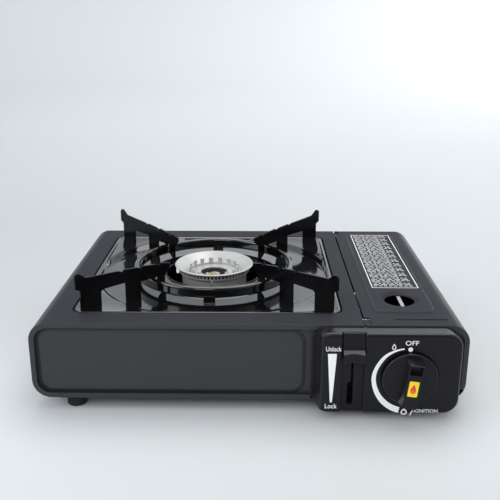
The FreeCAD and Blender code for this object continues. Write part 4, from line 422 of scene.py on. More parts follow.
def make_finishes():
    look = bpy.context.scene.stove_finish
    burner = middle("burner_head")
    surface("satin_charcoal", look.charcoal, shade=0.06, rough=(0.40, 0.48), grain=1500, lump=0.000012,
            patch=9, gloss=0.35, facing=("Z", 0.80, 0.97, 0.02))
    surface("gloss_enamel", look.enamel, shade=0.10, rough=(0.07, 0.11), grain=240, lump=0.000005,
            patch=14, gloss=0.7, coat=0.5)
    surface("arm_enamel", look.enamel, shade=0.10, rough=(0.16, 0.22), grain=240, lump=0.000005,
            patch=14, gloss=0.12)
    surface("black_plastic", look.moulding, shade=0.08, rough=(0.20, 0.26), grain=2600, lump=0.000006,
            patch=30, gloss=0.45, facing=("Y", -0.75, -0.95, 0.2))
    surface("ribbed_plastic", [c * 0.9 for c in look.moulding], shade=0.10, rough=(0.46, 0.55), grain=1800,
            lump=0.00002, patch=40)
    surface("rubber", (0.016, 0.016, 0.017), shade=0.2, rough=(0.72, 0.85), grain=1400, lump=0.00004,
            patch=60, gloss=0.3)
    surface("zinc_plating", (0.50, 0.51, 0.53), shade=0.14, rough=(0.26, 0.40), grain=800, lump=0.00001,
            patch=70, metal=1.0)
    surface("burner_alloy_turned", look.alloy, shade=0.05, rough=(0.34, 0.46), grain=1600, lump=0.000012,
            patch=45, metal=0.5, around=burner, rings=160, ring_depth=0.000010)
    # Flat dark finish of the band of painted shade in the burner's flame slots
    surface("soot", (0.004, 0.004, 0.004), shade=0.2, rough=(0.7, 0.9), grain=1500, lump=0.00001, patch=60,
            gloss=0.1)
    surface("brass", (0.66, 0.47, 0.19), shade=0.08, rough=(0.22, 0.34), grain=1500, lump=0.00001, patch=60,
            metal=1.0)
    surface("die_cast", (0.46, 0.46, 0.47), shade=0.10, rough=(0.42, 0.55), grain=1900, lump=0.00004,
            patch=50, metal=0.9)
    surface("glazed_ceramic", (0.80, 0.78, 0.73), shade=0.05, rough=(0.12, 0.20), grain=500, lump=0.00001,
            patch=90, coat=0.5)
    surface("silicone_sleeve", (0.42, 0.028, 0.018), shade=0.12, rough=(0.42, 0.55), grain=1200, lump=0.00002,
            patch=50)
    surface("white_ink", look.ink, shade=0.03, rough=(0.42, 0.55), grain=2600, lump=0.000005, patch=120,
            soft=False)
    surface("sticker_yellow", look.yellow, shade=0.05, rough=(0.28, 0.36), grain=1500, lump=0.000004,
            patch=90, soft=False, coat=0.3)
    surface("sticker_red", look.red, shade=0.10, rough=(0.28, 0.36), grain=1500, lump=0.000004, patch=260,
            soft=False, coat=0.3)
    surface("sticker_orange", (0.86, 0.26, 0.02), shade=0.08, rough=(0.28, 0.36), grain=1500, lump=0.000004,
            patch=260, soft=False, coat=0.3)


# The port seal's slot isn't here: the seal keeps the frame's own material
FINISH_OF_SLOT = {
    "charcoal_enamel": "satin_charcoal",
    "black_enamel": "gloss_enamel",
    "black_moulding": "black_plastic",
    "ribbed_moulding": "ribbed_plastic",
    "feet_rubber": "rubber",
    "zinc_plate": "zinc_plating",
    "burner_alloy": "burner_alloy_turned",
    "turned_brass": "brass",
    "valve_alloy": "die_cast",
    "glazed_white": "glazed_ceramic",
    "wire_sleeve": "silicone_sleeve",
    "flame_sticker": "sticker_yellow",
}


# Drip tray

# The pressed shape from the burner's hole to the flat round the dish: (radius, height) in millimetres
TRAY_DISH = (
    (44.35, 73.2), (44.7, 73.1), (44.8, 72.8), (44.85, 72.0), (45.3, 71.45), (46.2, 71.3), (60.6, 71.3),
    (61.6, 71.2), (62.3, 70.85), (63.1, 70.05), (63.8, 69.62), (64.8, 69.5), (100.6, 69.5), (102.6, 69.52),
    (104.0, 69.75), (105.4, 70.6), (107.2, 72.2), (108.6, 73.3), (109.8, 73.8), (111.5, 73.9),
)
TRAY_WALL_FROM = 100     # radius outside which the section follows the dish's setting
# The bead along the tray's edge: (distance from the edge, height) in millimetres
TRAY_BEAD = (
    (3.25, 73.9), (2.9, 74.0), (2.5, 74.36), (2.0, 74.5), (0.75, 74.5), (0.22, 74.36), (0.0, 74.0),
    (0.0, 70.0),
)
TRAY_BEAD_RISE = 0.6     # the bead's height over the flat
TRAY_BEAD_WIDTH = 3.3    # rows of the dish stay this far from the tray's edge
TRAY_ROW_GAP = 0.1       # and this far from one another where they meet it
TRAY_LEAST_CORNER = 2    # corner radius of the rows furthest in


def quarter_angles(half_x, half_y, corner, steps):
    """Directions from the middle that crowd together where the corner is."""
    first = math.atan2(half_y - corner, half_x)
    last = math.atan2(half_y, half_x - corner)
    straight = steps // 2
    bend = 14
    angles = [first * (i + 0.5) / straight for i in range(straight)]
    angles += [first + (last - first) * i / bend for i in range(bend + 1)]
    angles += [last + (math.pi / 2 - last) * (i + 0.5) / straight for i in range(straight)]
    return angles


def square_reach(angle, half_x, half_y, corner):
    """Distance from the middle to a rounded rectangle in one direction."""
    c = abs(math.cos(angle))
    s = abs(math.sin(angle))
    reach = min(half_x / max(c, 1e-9), half_y / max(s, 1e-9))
    core_x = half_x - corner
    core_y = half_y - corner
    if reach * c > core_x and reach * s > core_y:
        along = c * core_x + s * core_y
        reach = along + math.sqrt(max(0, along ** 2 - core_x ** 2 - core_y ** 2 + corner ** 2))
    return reach


def make_tray():
    """Rows of points that run out from the burner's hole to the outline of the tray, as one sheet."""
    tray = bpy.context.scene.stove_tray
    low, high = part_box("drip_tray")
    centre = (low + high) / 2
    half_x = (high.x - low.x) / 2
    half_y = (high.y - low.y) / 2
    flat = high.z - TRAY_BEAD_RISE * MM
    quarter = quarter_angles(half_x, half_y, tray.corner, tray.steps)
    angles = []
    for turn in range(4):
        part = quarter if turn % 2 == 0 else [math.pi / 2 - a for a in reversed(quarter)]
        angles += [a + turn * math.pi / 2 for a in part]
    rim_radius, rim_height = TRAY_DISH[-1]
    scale = tray.dish / (rim_radius * MM)
    rows = []
    for index, (radius, height) in enumerate(TRAY_DISH):
        away = (TRAY_BEAD_WIDTH + TRAY_ROW_GAP * (len(TRAY_DISH) - index)) * MM
        corner = max(tray.corner - away, TRAY_LEAST_CORNER * MM)
        radius = radius * MM * (scale if radius > TRAY_WALL_FROM else 1)
        row = []
        for angle in angles:
            limit = square_reach(angle, half_x - away, half_y - away, corner)
            row.append((min(radius, limit), height * MM + flat - rim_height * MM))
        rows.append(row)
    for inset, height in TRAY_BEAD + ((0.0, low.z / MM),):
        away = inset * MM
        row = []
        for angle in angles:
            limit = square_reach(angle, half_x - away, half_y - away, tray.corner - away)
            row.append((limit, height * MM))
        rows.append(row)

    piece = start("enamelled_drip_tray", bpy.ops.mesh.primitive_circle_add, vertices=len(angles),
                  radius=rows[0][0][0], fill_type="NOTHING")

    def lay(points, row):
        """Move a ring of points to a row; what lies a hair under a full turn counts as the first."""
        hair = 1e-4
        ordered = sorted(points, key=lambda v: (math.atan2(v.co.y, v.co.x) + hair) % TURN)
        for point, angle, (reach, height) in zip(ordered, angles, row):
            point.co = (reach * math.cos(angle), reach * math.sin(angle), height)

    edit(piece, "EDGE")
    bpy.ops.mesh.select_all(action="SELECT")
    mesh = bmesh.from_edit_mesh(piece.data)
    lay(mesh.verts, rows[0])
    bmesh.update_edit_mesh(piece.data)
    for row in rows[1:]:
        bpy.ops.mesh.extrude_edges_move()
        mesh = bmesh.from_edit_mesh(piece.data)
        lay([v for v in mesh.verts if v.select], row)
        bmesh.update_edit_mesh(piece.data)
    bpy.ops.mesh.select_all(action="SELECT")
    bpy.ops.mesh.normals_make_consistent(inside=False)
    mesh = bmesh.from_edit_mesh(piece.data)
    if sum(face.normal.z for face in mesh.faces) < 0:
        bpy.ops.mesh.flip_normals()
    let_go()
    apply_modifier(piece, "SOLIDIFY", thickness=tray.sheet, offset=-1.0, use_even_offset=True)
    settle(piece, location=(centre.x, centre.y, 0), smooth=40)
    dress(piece, find_finish("gloss_enamel"), "pan_support", ["drip_tray"])


# Control knob

DISC_ROUND = 1.2         # in millimetres, as all sizes of this list
GRIP_ROUND = 0.5
GRIP_SUNK = 1.6          # how far the grip reaches into the disc
HUB_RADIUS = 5.5
HUB_SPAN = (-1, 5)       # from inside the disc to behind it, with the disc's back at 0
BORE_RADIUS = 3.06
BORE_SPAN = (-2.5, 7)
EDGE_ROUND = 0.4
STICKER_CORNER = 0.7
FLAME_WIDTH = 4.8        # the sticker's largest flame
FLAME_HEIGHT = 8.2


def make_knob():
    """A disc with a grip, a pocket in the grip's head and a bored hub behind."""
    knob = bpy.context.scene.stove_knob
    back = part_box("control_knob")[0].y + knob.grip_rise + knob.thickness
    axis = Vector((middle("valve_spindle").x, back, middle("valve_spindle").z))
    piece = start("turned_control_knob", bpy.ops.mesh.primitive_cylinder_add, vertices=160,
                  radius=knob.radius, depth=knob.thickness, location=(0, -knob.thickness / 2, 0),
                  rotation=(math.pi / 2, 0, 0))
    bpy.ops.object.transform_apply(location=True, rotation=True, scale=True)
    edit(piece, "EDGE")
    pick(piece, lambda c, e: c.y < -knob.thickness + NEAR and len(e.link_faces) == 2
         and abs(e.verts[0].co.y - e.verts[1].co.y) < SAME, "edges")
    bpy.ops.mesh.bevel(offset=DISC_ROUND * MM, segments=6)
    let_go()
    tail = knob.grip_tail
    head = knob.grip_head
    front = -knob.thickness - knob.grip_rise
    sunk = GRIP_SUNK * MM
    grip = start("grip", bpy.ops.mesh.primitive_cube_add, size=1,
                 location=(0, (front - knob.thickness + sunk) / 2, (head - tail) / 2),
                 scale=(knob.grip_width, knob.grip_rise + sunk, head + tail))
    bpy.ops.object.transform_apply(location=True, rotation=True, scale=True)
    edit(grip)
    pick(grip, lambda c, f: c.y < front + NEAR)
    bpy.ops.transform.resize(value=(knob.grip_crest / knob.grip_width, 1, 1))
    let_go()
    edit(grip, "EDGE")
    pick(grip, lambda c, e: c.y < front + NEAR and c.z > head - NEAR, "edges")
    bpy.ops.mesh.bevel(offset=GRIP_ROUND * MM, segments=3)
    let_go()
    combine(piece, grip, "UNION")
    pocket = start("pocket", bpy.ops.mesh.primitive_cube_add, size=1,
                   location=(0, front, knob.pocket_middle),
                   scale=(knob.grip_crest - 2 * knob.pocket_wall, 2 * knob.pocket_depth, knob.pocket_height))
    combine(piece, pocket, "DIFFERENCE")
    hub, bore = [
        start(name, bpy.ops.mesh.primitive_cylinder_add, vertices=48, radius=radius * MM,
              depth=(last - first) * MM, location=(0, (first + last) / 2 * MM, 0),
              rotation=(math.pi / 2, 0, 0))
        for name, radius, (first, last) in (("hub", HUB_RADIUS, HUB_SPAN), ("bore", BORE_RADIUS, BORE_SPAN))]
    combine(piece, hub, "UNION")
    combine(piece, bore, "DIFFERENCE")
    clean(piece)
    apply_modifier(piece, "BEVEL", width=EDGE_ROUND * MM, segments=3, limit_method="ANGLE",
                   angle_limit=math.radians(28), harden_normals=False)
    settle(piece, location=axis, rotation=(0, knob.tilt, 0), smooth=35)
    dress(piece, find_finish("black_plastic"), "knob", ["control_knob"])
    make_sticker(axis, front)


def make_sticker(axis, front):
    """A yellow label with a plain flame, on the front of the grip."""
    knob = bpy.context.scene.stove_knob
    thickness = knob.sticker_thickness
    ground = start("sticker_ground", bpy.ops.mesh.primitive_cube_add, size=1,
                   location=(0, front - thickness / 2, -knob.sticker_drop),
                   scale=(knob.sticker_width, thickness, knob.sticker_height))
    bpy.ops.object.transform_apply(location=True, rotation=True, scale=True)
    edit(ground, "EDGE")
    pick(ground, lambda c, e: abs(e.verts[0].co.y - e.verts[1].co.y) > NEAR, "edges")
    bpy.ops.mesh.bevel(offset=STICKER_CORNER * MM, segments=4)
    settle(ground, location=axis, rotation=(0, knob.tilt, 0))
    dress(ground, find_finish("sticker_yellow"), "knob", ["knob_sticker"])
    for name, finish, size, lift, level in (
            ("sticker_flame_glow", "sticker_orange", 1.0, 0.02, 0.0),
            ("sticker_flame", "sticker_red", 0.80, 0.04, 0.25),
            ("sticker_flame_heart", "sticker_orange", 0.30, 0.06, -1.6)):
        outline = [(x * size, z * size - knob.sticker_drop / MM + level)
                   for x, z in flame_outline(FLAME_WIDTH, FLAME_HEIGHT)]
        mark = flat_mark(name, outline, (front - thickness) / MM, lift)
        settle(mark, location=axis, rotation=(0, knob.tilt, 0))
        dress(mark, find_finish(finish), "knob")


# Burner

def make_slot_shade_band():
    """A dark band at the bottom of the flame slots, hidden between them: painted shade standing for the
    shadow deep in the slots.
    """
    burner = bpy.context.scene.stove_burner
    centre = middle("burner_head")
    piece = start("flame_slot_soot", bpy.ops.mesh.primitive_cylinder_add, vertices=248,
                  radius=burner.shade_band_radius, depth=burner.shade_band_height, end_fill_type="NOTHING")
    apply_modifier(piece, "SOLIDIFY", thickness=burner.shade_band_thickness, offset=-1.0)
    settle(piece, location=(centre.x, centre.y, burner.shade_band_level))
    dress(piece, find_finish("soot"), "casing")


# Printed marks

PRINT_SUNK = 0.03        # how far the marks reach into the face; in millimetres, as all sizes of this list
LETTER_WEIGHT = 0.006    # how much the letters are thickened, as a share of their size
FLAME_TAPER = 1.6        # how late the flame's sides close in towards its tip
FLAME_WAIST = 0.72       # by how much they do
FLAME_BELLY = 1.12       # widens the drop to its full width again
DIAL_CENTRE = (122.7, 39.0)
DOT_PLACE = (122.9, 60.8)
DOT_RADIUS = 1.8
DOT_POINTS = 32
LINE_AT_ENDS = 2.4       # height that a flame's inner outline loses, in line widths
LINE_AT_TIP = 0.3        # how far it lies under the outer one's middle, in line widths
# The strength arc's two sides: (angle in degrees, radius)
ARC_INSIDE = ((101, 22.2), (150, 23.2), (190, 25.1), (259, 27.6))
ARC_OUTSIDE = ((101, 23.2), (150, 25.9), (190, 28.4), (259, 32.6))


def flame_outline(width, height, points=40):
    """Outline of a plain drop-shaped flame, its middle at the origin."""
    outline = []
    for i in range(points):
        turn = TURN * i / points
        pinch = (0.5 + 0.5 * math.cos(turn)) ** FLAME_TAPER
        x = width / 2 * math.sin(turn) * (1 - FLAME_WAIST * pinch)
        z = height / 2 * math.cos(turn)
        outline.append((x * FLAME_BELLY, z))
    return outline


def flat_mark(name, outline, face_y, lift):
    """A thin flat shape on an upright face, from its outline in millimetres."""
    piece = start(name, bpy.ops.mesh.primitive_circle_add, vertices=len(outline), radius=1, fill_type="NGON")
    edit(piece)
    mesh = bmesh.from_edit_mesh(piece.data)
    mesh.verts.ensure_lookup_table()
    ordered = sorted(mesh.verts, key=lambda v: -math.atan2(v.co.y, v.co.x))
    for point, (x, z) in zip(ordered, outline):
        point.co = (x * MM, (face_y - lift) * MM, z * MM)
    bmesh.update_edit_mesh(piece.data)
    bpy.ops.mesh.select_all(action="SELECT")
    bpy.ops.mesh.extrude_region_move(TRANSFORM_OT_translate={"value": (0, (lift + PRINT_SUNK) * MM, 0)})
    bpy.ops.mesh.select_all(action="SELECT")
    bpy.ops.mesh.normals_make_consistent(inside=False)
    let_go()
    return piece


def word_mark(name, word, box, face_y, lift):
    """A printed word that fills a box (left, right, low, high) in millimetres on an upright face."""
    left, right, low, high = box
    piece = start(name, bpy.ops.object.text_add)
    piece.data.body = word
    piece.data.extrude = 0.5
    piece.data.offset = LETTER_WEIGHT
    piece.data.resolution_u = 6
    bpy.ops.object.convert(target="MESH")
    piece = bpy.context.active_object
    xs = [v.co.x for v in piece.data.vertices]
    ys = [v.co.y for v in piece.data.vertices]
    wide = (right - left) / (max(xs) - min(xs))
    tall = (high - low) / (max(ys) - min(ys))
    edit(piece)
    mesh = bmesh.from_edit_mesh(piece.data)
    corner_x = min(xs)
    corner_y = min(ys)
    for point in mesh.verts:
        depth = face_y - lift if point.co.z > 0 else face_y + PRINT_SUNK
        point.co = ((left + (point.co.x - corner_x) * wide) * MM, depth * MM,
                    (low + (point.co.y - corner_y) * tall) * MM)
    bmesh.update_edit_mesh(piece.data)
    let_go()
    clean(piece)
    settle(piece)
    return piece


def ring_strip(centre, inner, outer, steps=72):
    """Outline of a crescent about a centre: inner and outer are (angle in degrees, radius) pairs."""
    def radius(table, angle):
        for (a0, r0), (a1, r1) in zip(table, table[1:]):
            if a0 <= angle <= a1:
                share = (angle - a0) / (a1 - a0)
                eased = share * share * (3 - 2 * share) * 0.5 + share * 0.5
                return r0 + (r1 - r0) * eased
        return table[-1][1]

    def point(table, angle):
        turn = math.radians(angle)
        return (centre[0] + radius(table, angle) * math.cos(turn),
                centre[1] + radius(table, angle) * math.sin(turn))

    first = inner[0][0]
    last = inner[-1][0]
    turns = [first + (last - first) * i / steps for i in range(steps + 1)]
    return [point(outer, a) for a in turns] + [point(inner, a) for a in reversed(turns)]


def make_panel_prints():
    """The marks of the dial and the lever. Places are (across from the middle, over the ground)."""
    prints = bpy.context.scene.stove_print
    lift = prints.ink_height / MM
    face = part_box("control_panel")[0].y / MM
    dot = [(DOT_PLACE[0] + DOT_RADIUS * math.sin(TURN * i / DOT_POINTS),
            DOT_PLACE[1] + DOT_RADIUS * math.cos(TURN * i / DOT_POINTS)) for i in range(DOT_POINTS)]
    marks = [
        flat_mark("print_lock_wedge", [(60.7, 56.8), (67.5, 56.9), (65.0, 15.6), (63.4, 15.6)], face, lift),
        word_mark("print_unlock", prints.unlock_word, (59.1, 70.8, 58.9, 62.8), face, lift),
        word_mark("print_lock", prints.lock_word, (59.6, 68.9, 10.4, 14.4), face, lift),
        word_mark("print_off", prints.off_word, (118.8, 128.9, 64.2, 68.0), face, lift),
        word_mark("print_ignition", prints.ignite_word, (128.9, 147.1, 7.3, 10.2), face, lift),
        flat_mark("print_dot", dot, face, lift),
        flat_mark("print_strength_arc", ring_strip(DIAL_CENTRE, ARC_INSIDE, ARC_OUTSIDE), face, lift),
        flat_mark("print_slash", [(127.2, 9.2), (128.1, 9.2), (126.2, 4.9), (125.3, 4.9)], face, lift),
    ]
    for name, centre, width, height, line in (
            ("print_low_flame", (110.4, 63.0), 3.4, 4.9, 0.72),
            ("print_high_flame", (121.0, 8.2), 5.4, 5.6, 1.05)):
        outer = flame_outline(width, height)
        inner = flame_outline(width - 2 * line, height - LINE_AT_ENDS * line)
        ring = [(centre[0] + x, centre[1] + z) for x, z in outer + outer[:1]]
        ring += [(centre[0] + x, centre[1] + z - LINE_AT_TIP * line)
                 for x, z in reversed(inner + inner[:1])]
        marks.append(flat_mark(name, ring, face, lift))
    for mark in marks:
        settle(mark)
        dress(mark, find_finish("white_ink"), "casing")


# Ruled box on the lid

LABEL_SIDES = (106.4, 146.7)        # all in millimetres, from the frame's middle
LABEL_ENDS = (-51.5, 109.0)         # from the casing's middle
LABEL_LINE = 0.7
LABEL_THICKNESS = 0.12
LABEL_MARGINS = (3, 2)              # free before the first row and after the last
DASH_HALF = 0.42                    # half a dash's height
# The kinds of row in turn: (length of a dash, dashes, pitch, indent)
DASHES = ((3.0, 8, 4.4, 2.2), (5.2, 5, 6.9, 2.2), (2.2, 9, 3.6, 3.8), (7.4, 3, 9.2, 2.2))


def lid_bar(left, right, low, high, height):
    bar = start("bar", bpy.ops.mesh.primitive_cube_add, size=1,
                location=((left + right) / 2 * MM, (low + high) / 2 * MM, height),
                scale=((right - left) * MM, (high - low) * MM, LABEL_THICKNESS * MM))
    bpy.ops.object.transform_apply(location=True, rotation=True, scale=True)
    return bar


def repeat(piece, count, step):
    """Copies of the piece in a row, a step in millimetres apart."""
    apply_modifier(piece, "ARRAY", count=count, use_relative_offset=False, use_constant_offset=True,
                   constant_offset_displace=[s * MM for s in step])


def join(name, pieces):
    take(pieces[0])
    for piece in pieces:
        piece.select_set(True)
    bpy.ops.object.join()
    joined = bpy.context.active_object
    joined.name = name
    joined.data.name = name
    return joined


def make_lid_label():
    """A thin white box with rows of plain dashes and no words."""
    prints = bpy.context.scene.stove_print
    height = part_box("canister_lid")[1].z
    shift = middle("top_cover").y / MM
    left, right = LABEL_SIDES
    low, high = [end + shift for end in LABEL_ENDS]
    bars = [
        lid_bar(left, right, low, low + LABEL_LINE, height),
        lid_bar(left, right, high - LABEL_LINE, high, height),
        lid_bar(left, left + LABEL_LINE, low, high, height),
        lid_bar(right - LABEL_LINE, right, low, high, height),
    ]
    step = (high - low - sum(LABEL_MARGINS)) / prints.ruled_lines
    for kind, (dash, count, pitch, indent) in enumerate(DASHES):
        level = low + LABEL_MARGINS[0] + step * (kind + 0.5)
        row = lid_bar(left + indent, left + indent + dash, level - DASH_HALF, level + DASH_HALF, height)
        repeat(row, count, (pitch, 0, 0))
        repeat(row, (prints.ruled_lines - kind - 1) // len(DASHES) + 1, (0, len(DASHES) * step, 0))
        bars.append(row)
    label = join("print_lid_ruled_box", bars)
    settle(label)
    dress(label, find_finish("white_ink"), "lid")


# Studio

TABLE_SIZE = 7           # in metres, as all sizes of this list
TABLE_PULL = 1.0         # how far the table's far edge is brought forward before it curves up
COVE_RADIUS = 1.3
COVE_STEPS = 24
WALL_HEIGHT = 2.5
TONES_LEAD = 0.3         # how far in front of the middle the tones begin
TONES_SPAN = 4.2         # how far they run over the table and up the backdrop
# Paleness along that way, at the left and at the right: (distance behind the middle, grey). Painted shade
# darkens the table round the stove, and painted light brightens it far away and to the right.
TONES_LEFT = (
    (-0.24, 0.68), (-0.16, 0.74), (-0.08, 0.71), (0.0, 0.63), (0.11, 0.57), (0.44, 0.55), (0.64, 0.59),
    (0.94, 0.63), (1.38, 0.70), (2.14, 0.83), (2.94, 0.88), (3.7, 0.90),
)
TONES_RIGHT = (
    (-0.24, 0.64), (-0.16, 0.73), (0.0, 0.69), (0.24, 0.64), (0.44, 0.66), (0.64, 0.68), (0.94, 0.72),
    (1.38, 0.80), (2.14, 0.93), (2.94, 0.97), (3.7, 0.98),
)
FAN_ORIGIN = 0.65        # where left and right part: this far in front of the middle
FAN_NEAREST = 0.3        # what lies nearer to there counts as this far
FAN_SLOPE = 0.33         # how far aside, to one ahead, the tones are wholly those of one side
TABLE_DRIFT = 0.015      # how much the tint drifts
# The surround that glossy faces see: its least level and what each direction adds
GLOW_LEAST = 0.10
GLOW_ASIDE = 0.7
GLOW_ABOVE = 0.6
GLOW_BEHIND = 0.6
GLOW_DARKEST = 0.06      # strength where the level is nothing
SHOWN_LEVEL = 0.9        # strength of the surround where the camera sees it
CAMERA_PLACE = (0.0076, -0.6498, 0.3009)       # from the casing's middle, over the ground
CAMERA_TURN = (72.35, 0, 0.83)                 # in degrees
CAMERA_SHIFT = (0.0036, -0.0013)
CAMERA_NEAREST = 0.02
SENSOR_WIDTH = 36                              # in millimetres


def soft_lamp(name, place, target, size, power, colour=(1, 1, 1)):
    lamp = bpy.data.lights.new(name, "AREA")
    lamp.shape = "RECTANGLE"
    lamp.size = size[0]
    lamp.size_y = size[1]
    lamp.energy = power
    lamp.color = colour
    holder = bpy.data.objects.new(name, lamp)
    bpy.context.scene.collection.objects.link(holder)
    holder.location = place
    holder.rotation_euler = (Vector(target) - Vector(place)).to_track_quat("-Z", "Y").to_euler()


def make_world(stage):
    """Pale surround. Glossy faces see it dark in front, and bright behind, above and at the sides."""
    world = bpy.data.worlds.new("studio")
    bpy.context.scene.world = world
    world.use_nodes = True
    tree = world.node_tree
    tree.nodes.clear()
    place = add_node(tree, "ShaderNodeTexCoord").outputs["Generated"]
    parts = add_node(tree, "ShaderNodeSeparateXYZ", Vector=place).outputs
    level = GLOW_LEAST
    for part, share in ((reckon(tree, "ABSOLUTE", parts["X"]), GLOW_ASIDE), (parts["Z"], GLOW_ABOVE),
                        (parts["Y"], GLOW_BEHIND)):
        level = reckon(tree, "MULTIPLY_ADD", part, share, level)
    glow = spread(tree, level, GLOW_DARKEST, 1.0, 0.0, 1.0)
    path = add_node(tree, "ShaderNodeLightPath").outputs
    through = reckon(tree, "MAXIMUM", path["Is Glossy Ray"], path["Is Transmission Ray"])
    colour = tuple(stage.sky_colour) + (1,)
    light, shine, shown = [
        add_node(tree, "ShaderNodeBackground", Color=colour, Strength=strength).outputs[0]
        for strength in (stage.sky_light, glow, SHOWN_LEVEL)]
    seen = blend_light(tree, path["Is Camera Ray"], blend_light(tree, through, light, shine), shown)
    tree.links.new(seen, add_node(tree, "ShaderNodeOutputWorld").inputs["Surface"])


def painted_light_tones(tree, along, stops):
    """Greys of painted light and shade along the way over the table and up the backdrop."""
    ramp = add_node(tree, "ShaderNodeValToRGB", Fac=along)
    ramp.color_ramp.interpolation = "B_SPLINE"
    while len(ramp.color_ramp.elements) < len(stops):
        ramp.color_ramp.elements.new(1)
    for element, (away, grey) in zip(ramp.color_ramp.elements, stops):
        element.position = (away + TONES_LEAD) / TONES_SPAN
        element.color = (grey, grey, grey, 1)
    return ramp.outputs["Color"]


def make_table(stage):
    """Table top that curves up into the backdrop, with painted shade round the stove and painted light far
    away and to the right.
    """
    floor = start("table_and_backdrop", bpy.ops.mesh.primitive_plane_add, size=TABLE_SIZE, location=(0, 0, 0))
    edit(floor, "EDGE")
    pick(floor, lambda c, e: c.y > TABLE_SIZE / 2 - NEAR, "edges")
    bpy.ops.transform.translate(value=(0, -TABLE_PULL, 0))
    for step in range(COVE_STEPS):
        first = math.pi / 2 * step / COVE_STEPS
        last = math.pi / 2 * (step + 1) / COVE_STEPS
        bpy.ops.mesh.extrude_edges_move(TRANSFORM_OT_translate={"value": (
            0, COVE_RADIUS * (math.sin(last) - math.sin(first)),
            COVE_RADIUS * (math.cos(first) - math.cos(last)))})
    bpy.ops.mesh.extrude_edges_move(TRANSFORM_OT_translate={"value": (0, 0, WALL_HEIGHT)})
    clean(floor)
    settle(floor, smooth=60)
    tree, shader, place = blank("pale_table")
    parts = add_node(tree, "ShaderNodeSeparateXYZ", Vector=place).outputs
    away = reckon(tree, "ADD", parts["Y"], parts["Z"])
    along = reckon(tree, "DIVIDE", reckon(tree, "ADD", away, TONES_LEAD), TONES_SPAN)
    ahead = reckon(tree, "MAXIMUM", reckon(tree, "ADD", away, FAN_ORIGIN), FAN_NEAREST)
    aside = spread(tree, reckon(tree, "DIVIDE", parts["X"], ahead), 0.0, 1.0, -FAN_SLOPE, FAN_SLOPE)
    tone = blend_colours(tree, aside, painted_light_tones(tree, along, TONES_LEFT), painted_light_tones(tree, along, TONES_RIGHT))
    cloud = add_node(tree, "ShaderNodeTexNoise", Vector=place, Scale=0.8, Detail=2.0)
    mottled = blend_colours(tree, cloud.outputs["Fac"], *shade_around(stage.floor_colour, TABLE_DRIFT))
    tree.links.new(blend_colours(tree, 1, mottled, tone, "MULTIPLY"), shader.inputs["Base Color"])
    shader.inputs["Roughness"].default_value = 0.55
    shader.inputs["Specular IOR Level"].default_value = 0.25
    floor.data.materials.append(find_finish("pale_table"))


def make_stage():
    stage = bpy.context.scene.stove_stage
    make_table(stage)
    make_world(stage)
    soft_lamp("overhead_lamp", (0.25, 0.55, 1.9), (0, 0.05, 0), (1.9, 1.5), stage.key_power,
              (1.0, 0.99, 0.97))
    soft_lamp("left_lamp", (-1.5, -0.7, 1.0), (0, 0, 0.05), (1.0, 0.9), stage.side_power, (0.96, 0.98, 1.0))
    soft_lamp("front_lamp", (-0.5, -2.2, 1.6), (0, 0, 0.05), (1.2, 0.8), stage.front_power)
    soft_lamp("backdrop_lamp", (2.3, 2.2, 1.7), (1.6, 3.6, 0.3), (1.2, 1.0), stage.backdrop_power)

    camera_data = bpy.data.cameras.new("camera")
    camera = bpy.data.objects.new("camera", camera_data)
    bpy.context.scene.collection.objects.link(camera)
    camera.location = (CAMERA_PLACE[0], middle("top_cover").y + CAMERA_PLACE[1], CAMERA_PLACE[2])
    camera.rotation_euler = [math.radians(angle) for angle in CAMERA_TURN]
    camera_data.lens = stage.lens
    camera_data.sensor_width = SENSOR_WIDTH
    camera_data.shift_x, camera_data.shift_y = CAMERA_SHIFT
    camera_data.clip_start = CAMERA_NEAREST
    bpy.context.scene.camera = camera
    bpy.context.scene.view_settings.view_transform = "Standard"


# Operators

class STOVE_OT_stage(bpy.types.Operator):
    """Build the table, the backdrop, the lamps and the camera"""
    bl_idname = "stove.stage"
    bl_label = "Studio"

    def execute(self, context):
        make_stage()
        return {"FINISHED"}


class STOVE_OT_finishes(bpy.types.Operator):
    """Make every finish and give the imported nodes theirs"""
    bl_idname = "stove.finishes"
    bl_label = "Finishes"

    def execute(self, context):
        make_finishes()
        for name, node in frame["nodes"].items():
            for place in node.material_slots:
                slot = place.material.name.split(".")[0]
                if name.startswith("pan_support_arm"):
                    place.material = find_finish("arm_enamel")
                elif slot in FINISH_OF_SLOT:
                    place.material = find_finish(FINISH_OF_SLOT[slot])
        return {"FINISHED"}


class STOVE_OT_drip_tray(bpy.types.Operator):
    """Press the enamelled drip tray"""
    bl_idname = "stove.drip_tray"
    bl_label = "Drip tray"

    def execute(self, context):
        make_tray()
        return {"FINISHED"}


class STOVE_OT_knob(bpy.types.Operator):
    """Mould the control knob and lay its sticker on"""
    bl_idname = "stove.knob"
    bl_label = "Control knob"

    def execute(self, context):
        make_knob()
        return {"FINISHED"}


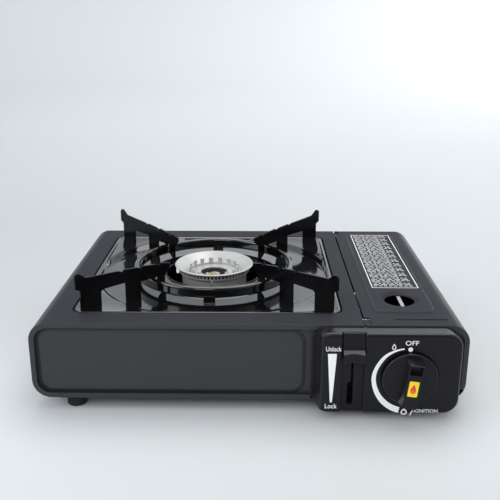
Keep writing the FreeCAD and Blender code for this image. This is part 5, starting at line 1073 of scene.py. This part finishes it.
class STOVE_OT_burner(bpy.types.Operator):
    """Darken the bottom of the burner's flame slots with a band of painted shade"""
    bl_idname = "stove.burner"
    bl_label = "Burner slots"

    def execute(self, context):
        make_slot_shade_band()
        return {"FINISHED"}


class STOVE_OT_panel_prints(bpy.types.Operator):
    """Print the marks of the dial and the lever on the control panel"""
    bl_idname = "stove.panel_prints"
    bl_label = "Panel prints"

    def execute(self, context):
        make_panel_prints()
        return {"FINISHED"}


class STOVE_OT_lid_label(bpy.types.Operator):
    """Print the ruled box on the lid"""
    bl_idname = "stove.lid_label"
    bl_label = "Lid print"

    def execute(self, context):
        make_lid_label()
        return {"FINISHED"}


OPERATORS = (
    STOVE_OT_stage, STOVE_OT_finishes, STOVE_OT_drip_tray, STOVE_OT_knob, STOVE_OT_burner,
    STOVE_OT_panel_prints, STOVE_OT_lid_label,
)
SETTINGS = (
    ("stove_stage", StageSettings), ("stove_finish", FinishSettings), ("stove_tray", TraySettings),
    ("stove_knob", KnobSettings), ("stove_burner", BurnerSettings), ("stove_print", PrintSettings),
)


class STOVE_PT_sidebar(bpy.types.Panel):
    bl_idname = "STOVE_PT_sidebar"
    bl_label = "Cassette stove"
    bl_space_type = "VIEW_3D"
    bl_region_type = "UI"
    bl_category = "Stove"

    def draw(self, context):
        for name, group in SETTINGS:
            section = self.layout.box()
            for key in group.__annotations__:
                section.prop(getattr(context.scene, name), key)
        for operator in OPERATORS:
            self.layout.operator(operator.bl_idname)


def register():
    for name, group in SETTINGS:
        bpy.utils.register_class(group)
        setattr(bpy.types.Scene, name, bpy.props.PointerProperty(type=group))
    for operator in OPERATORS:
        bpy.utils.register_class(operator)
    bpy.utils.register_class(STOVE_PT_sidebar)


def unregister():
    bpy.utils.unregister_class(STOVE_PT_sidebar)
    for operator in reversed(OPERATORS):
        bpy.utils.unregister_class(operator)
    for name, group in reversed(SETTINGS):
        delattr(bpy.types.Scene, name)
        bpy.utils.unregister_class(group)


def main():
    register()
    for operator in OPERATORS:
        family, name = operator.bl_idname.split(".")
        getattr(getattr(bpy.ops, family), name)()


if __name__ == "__main__":
    main()
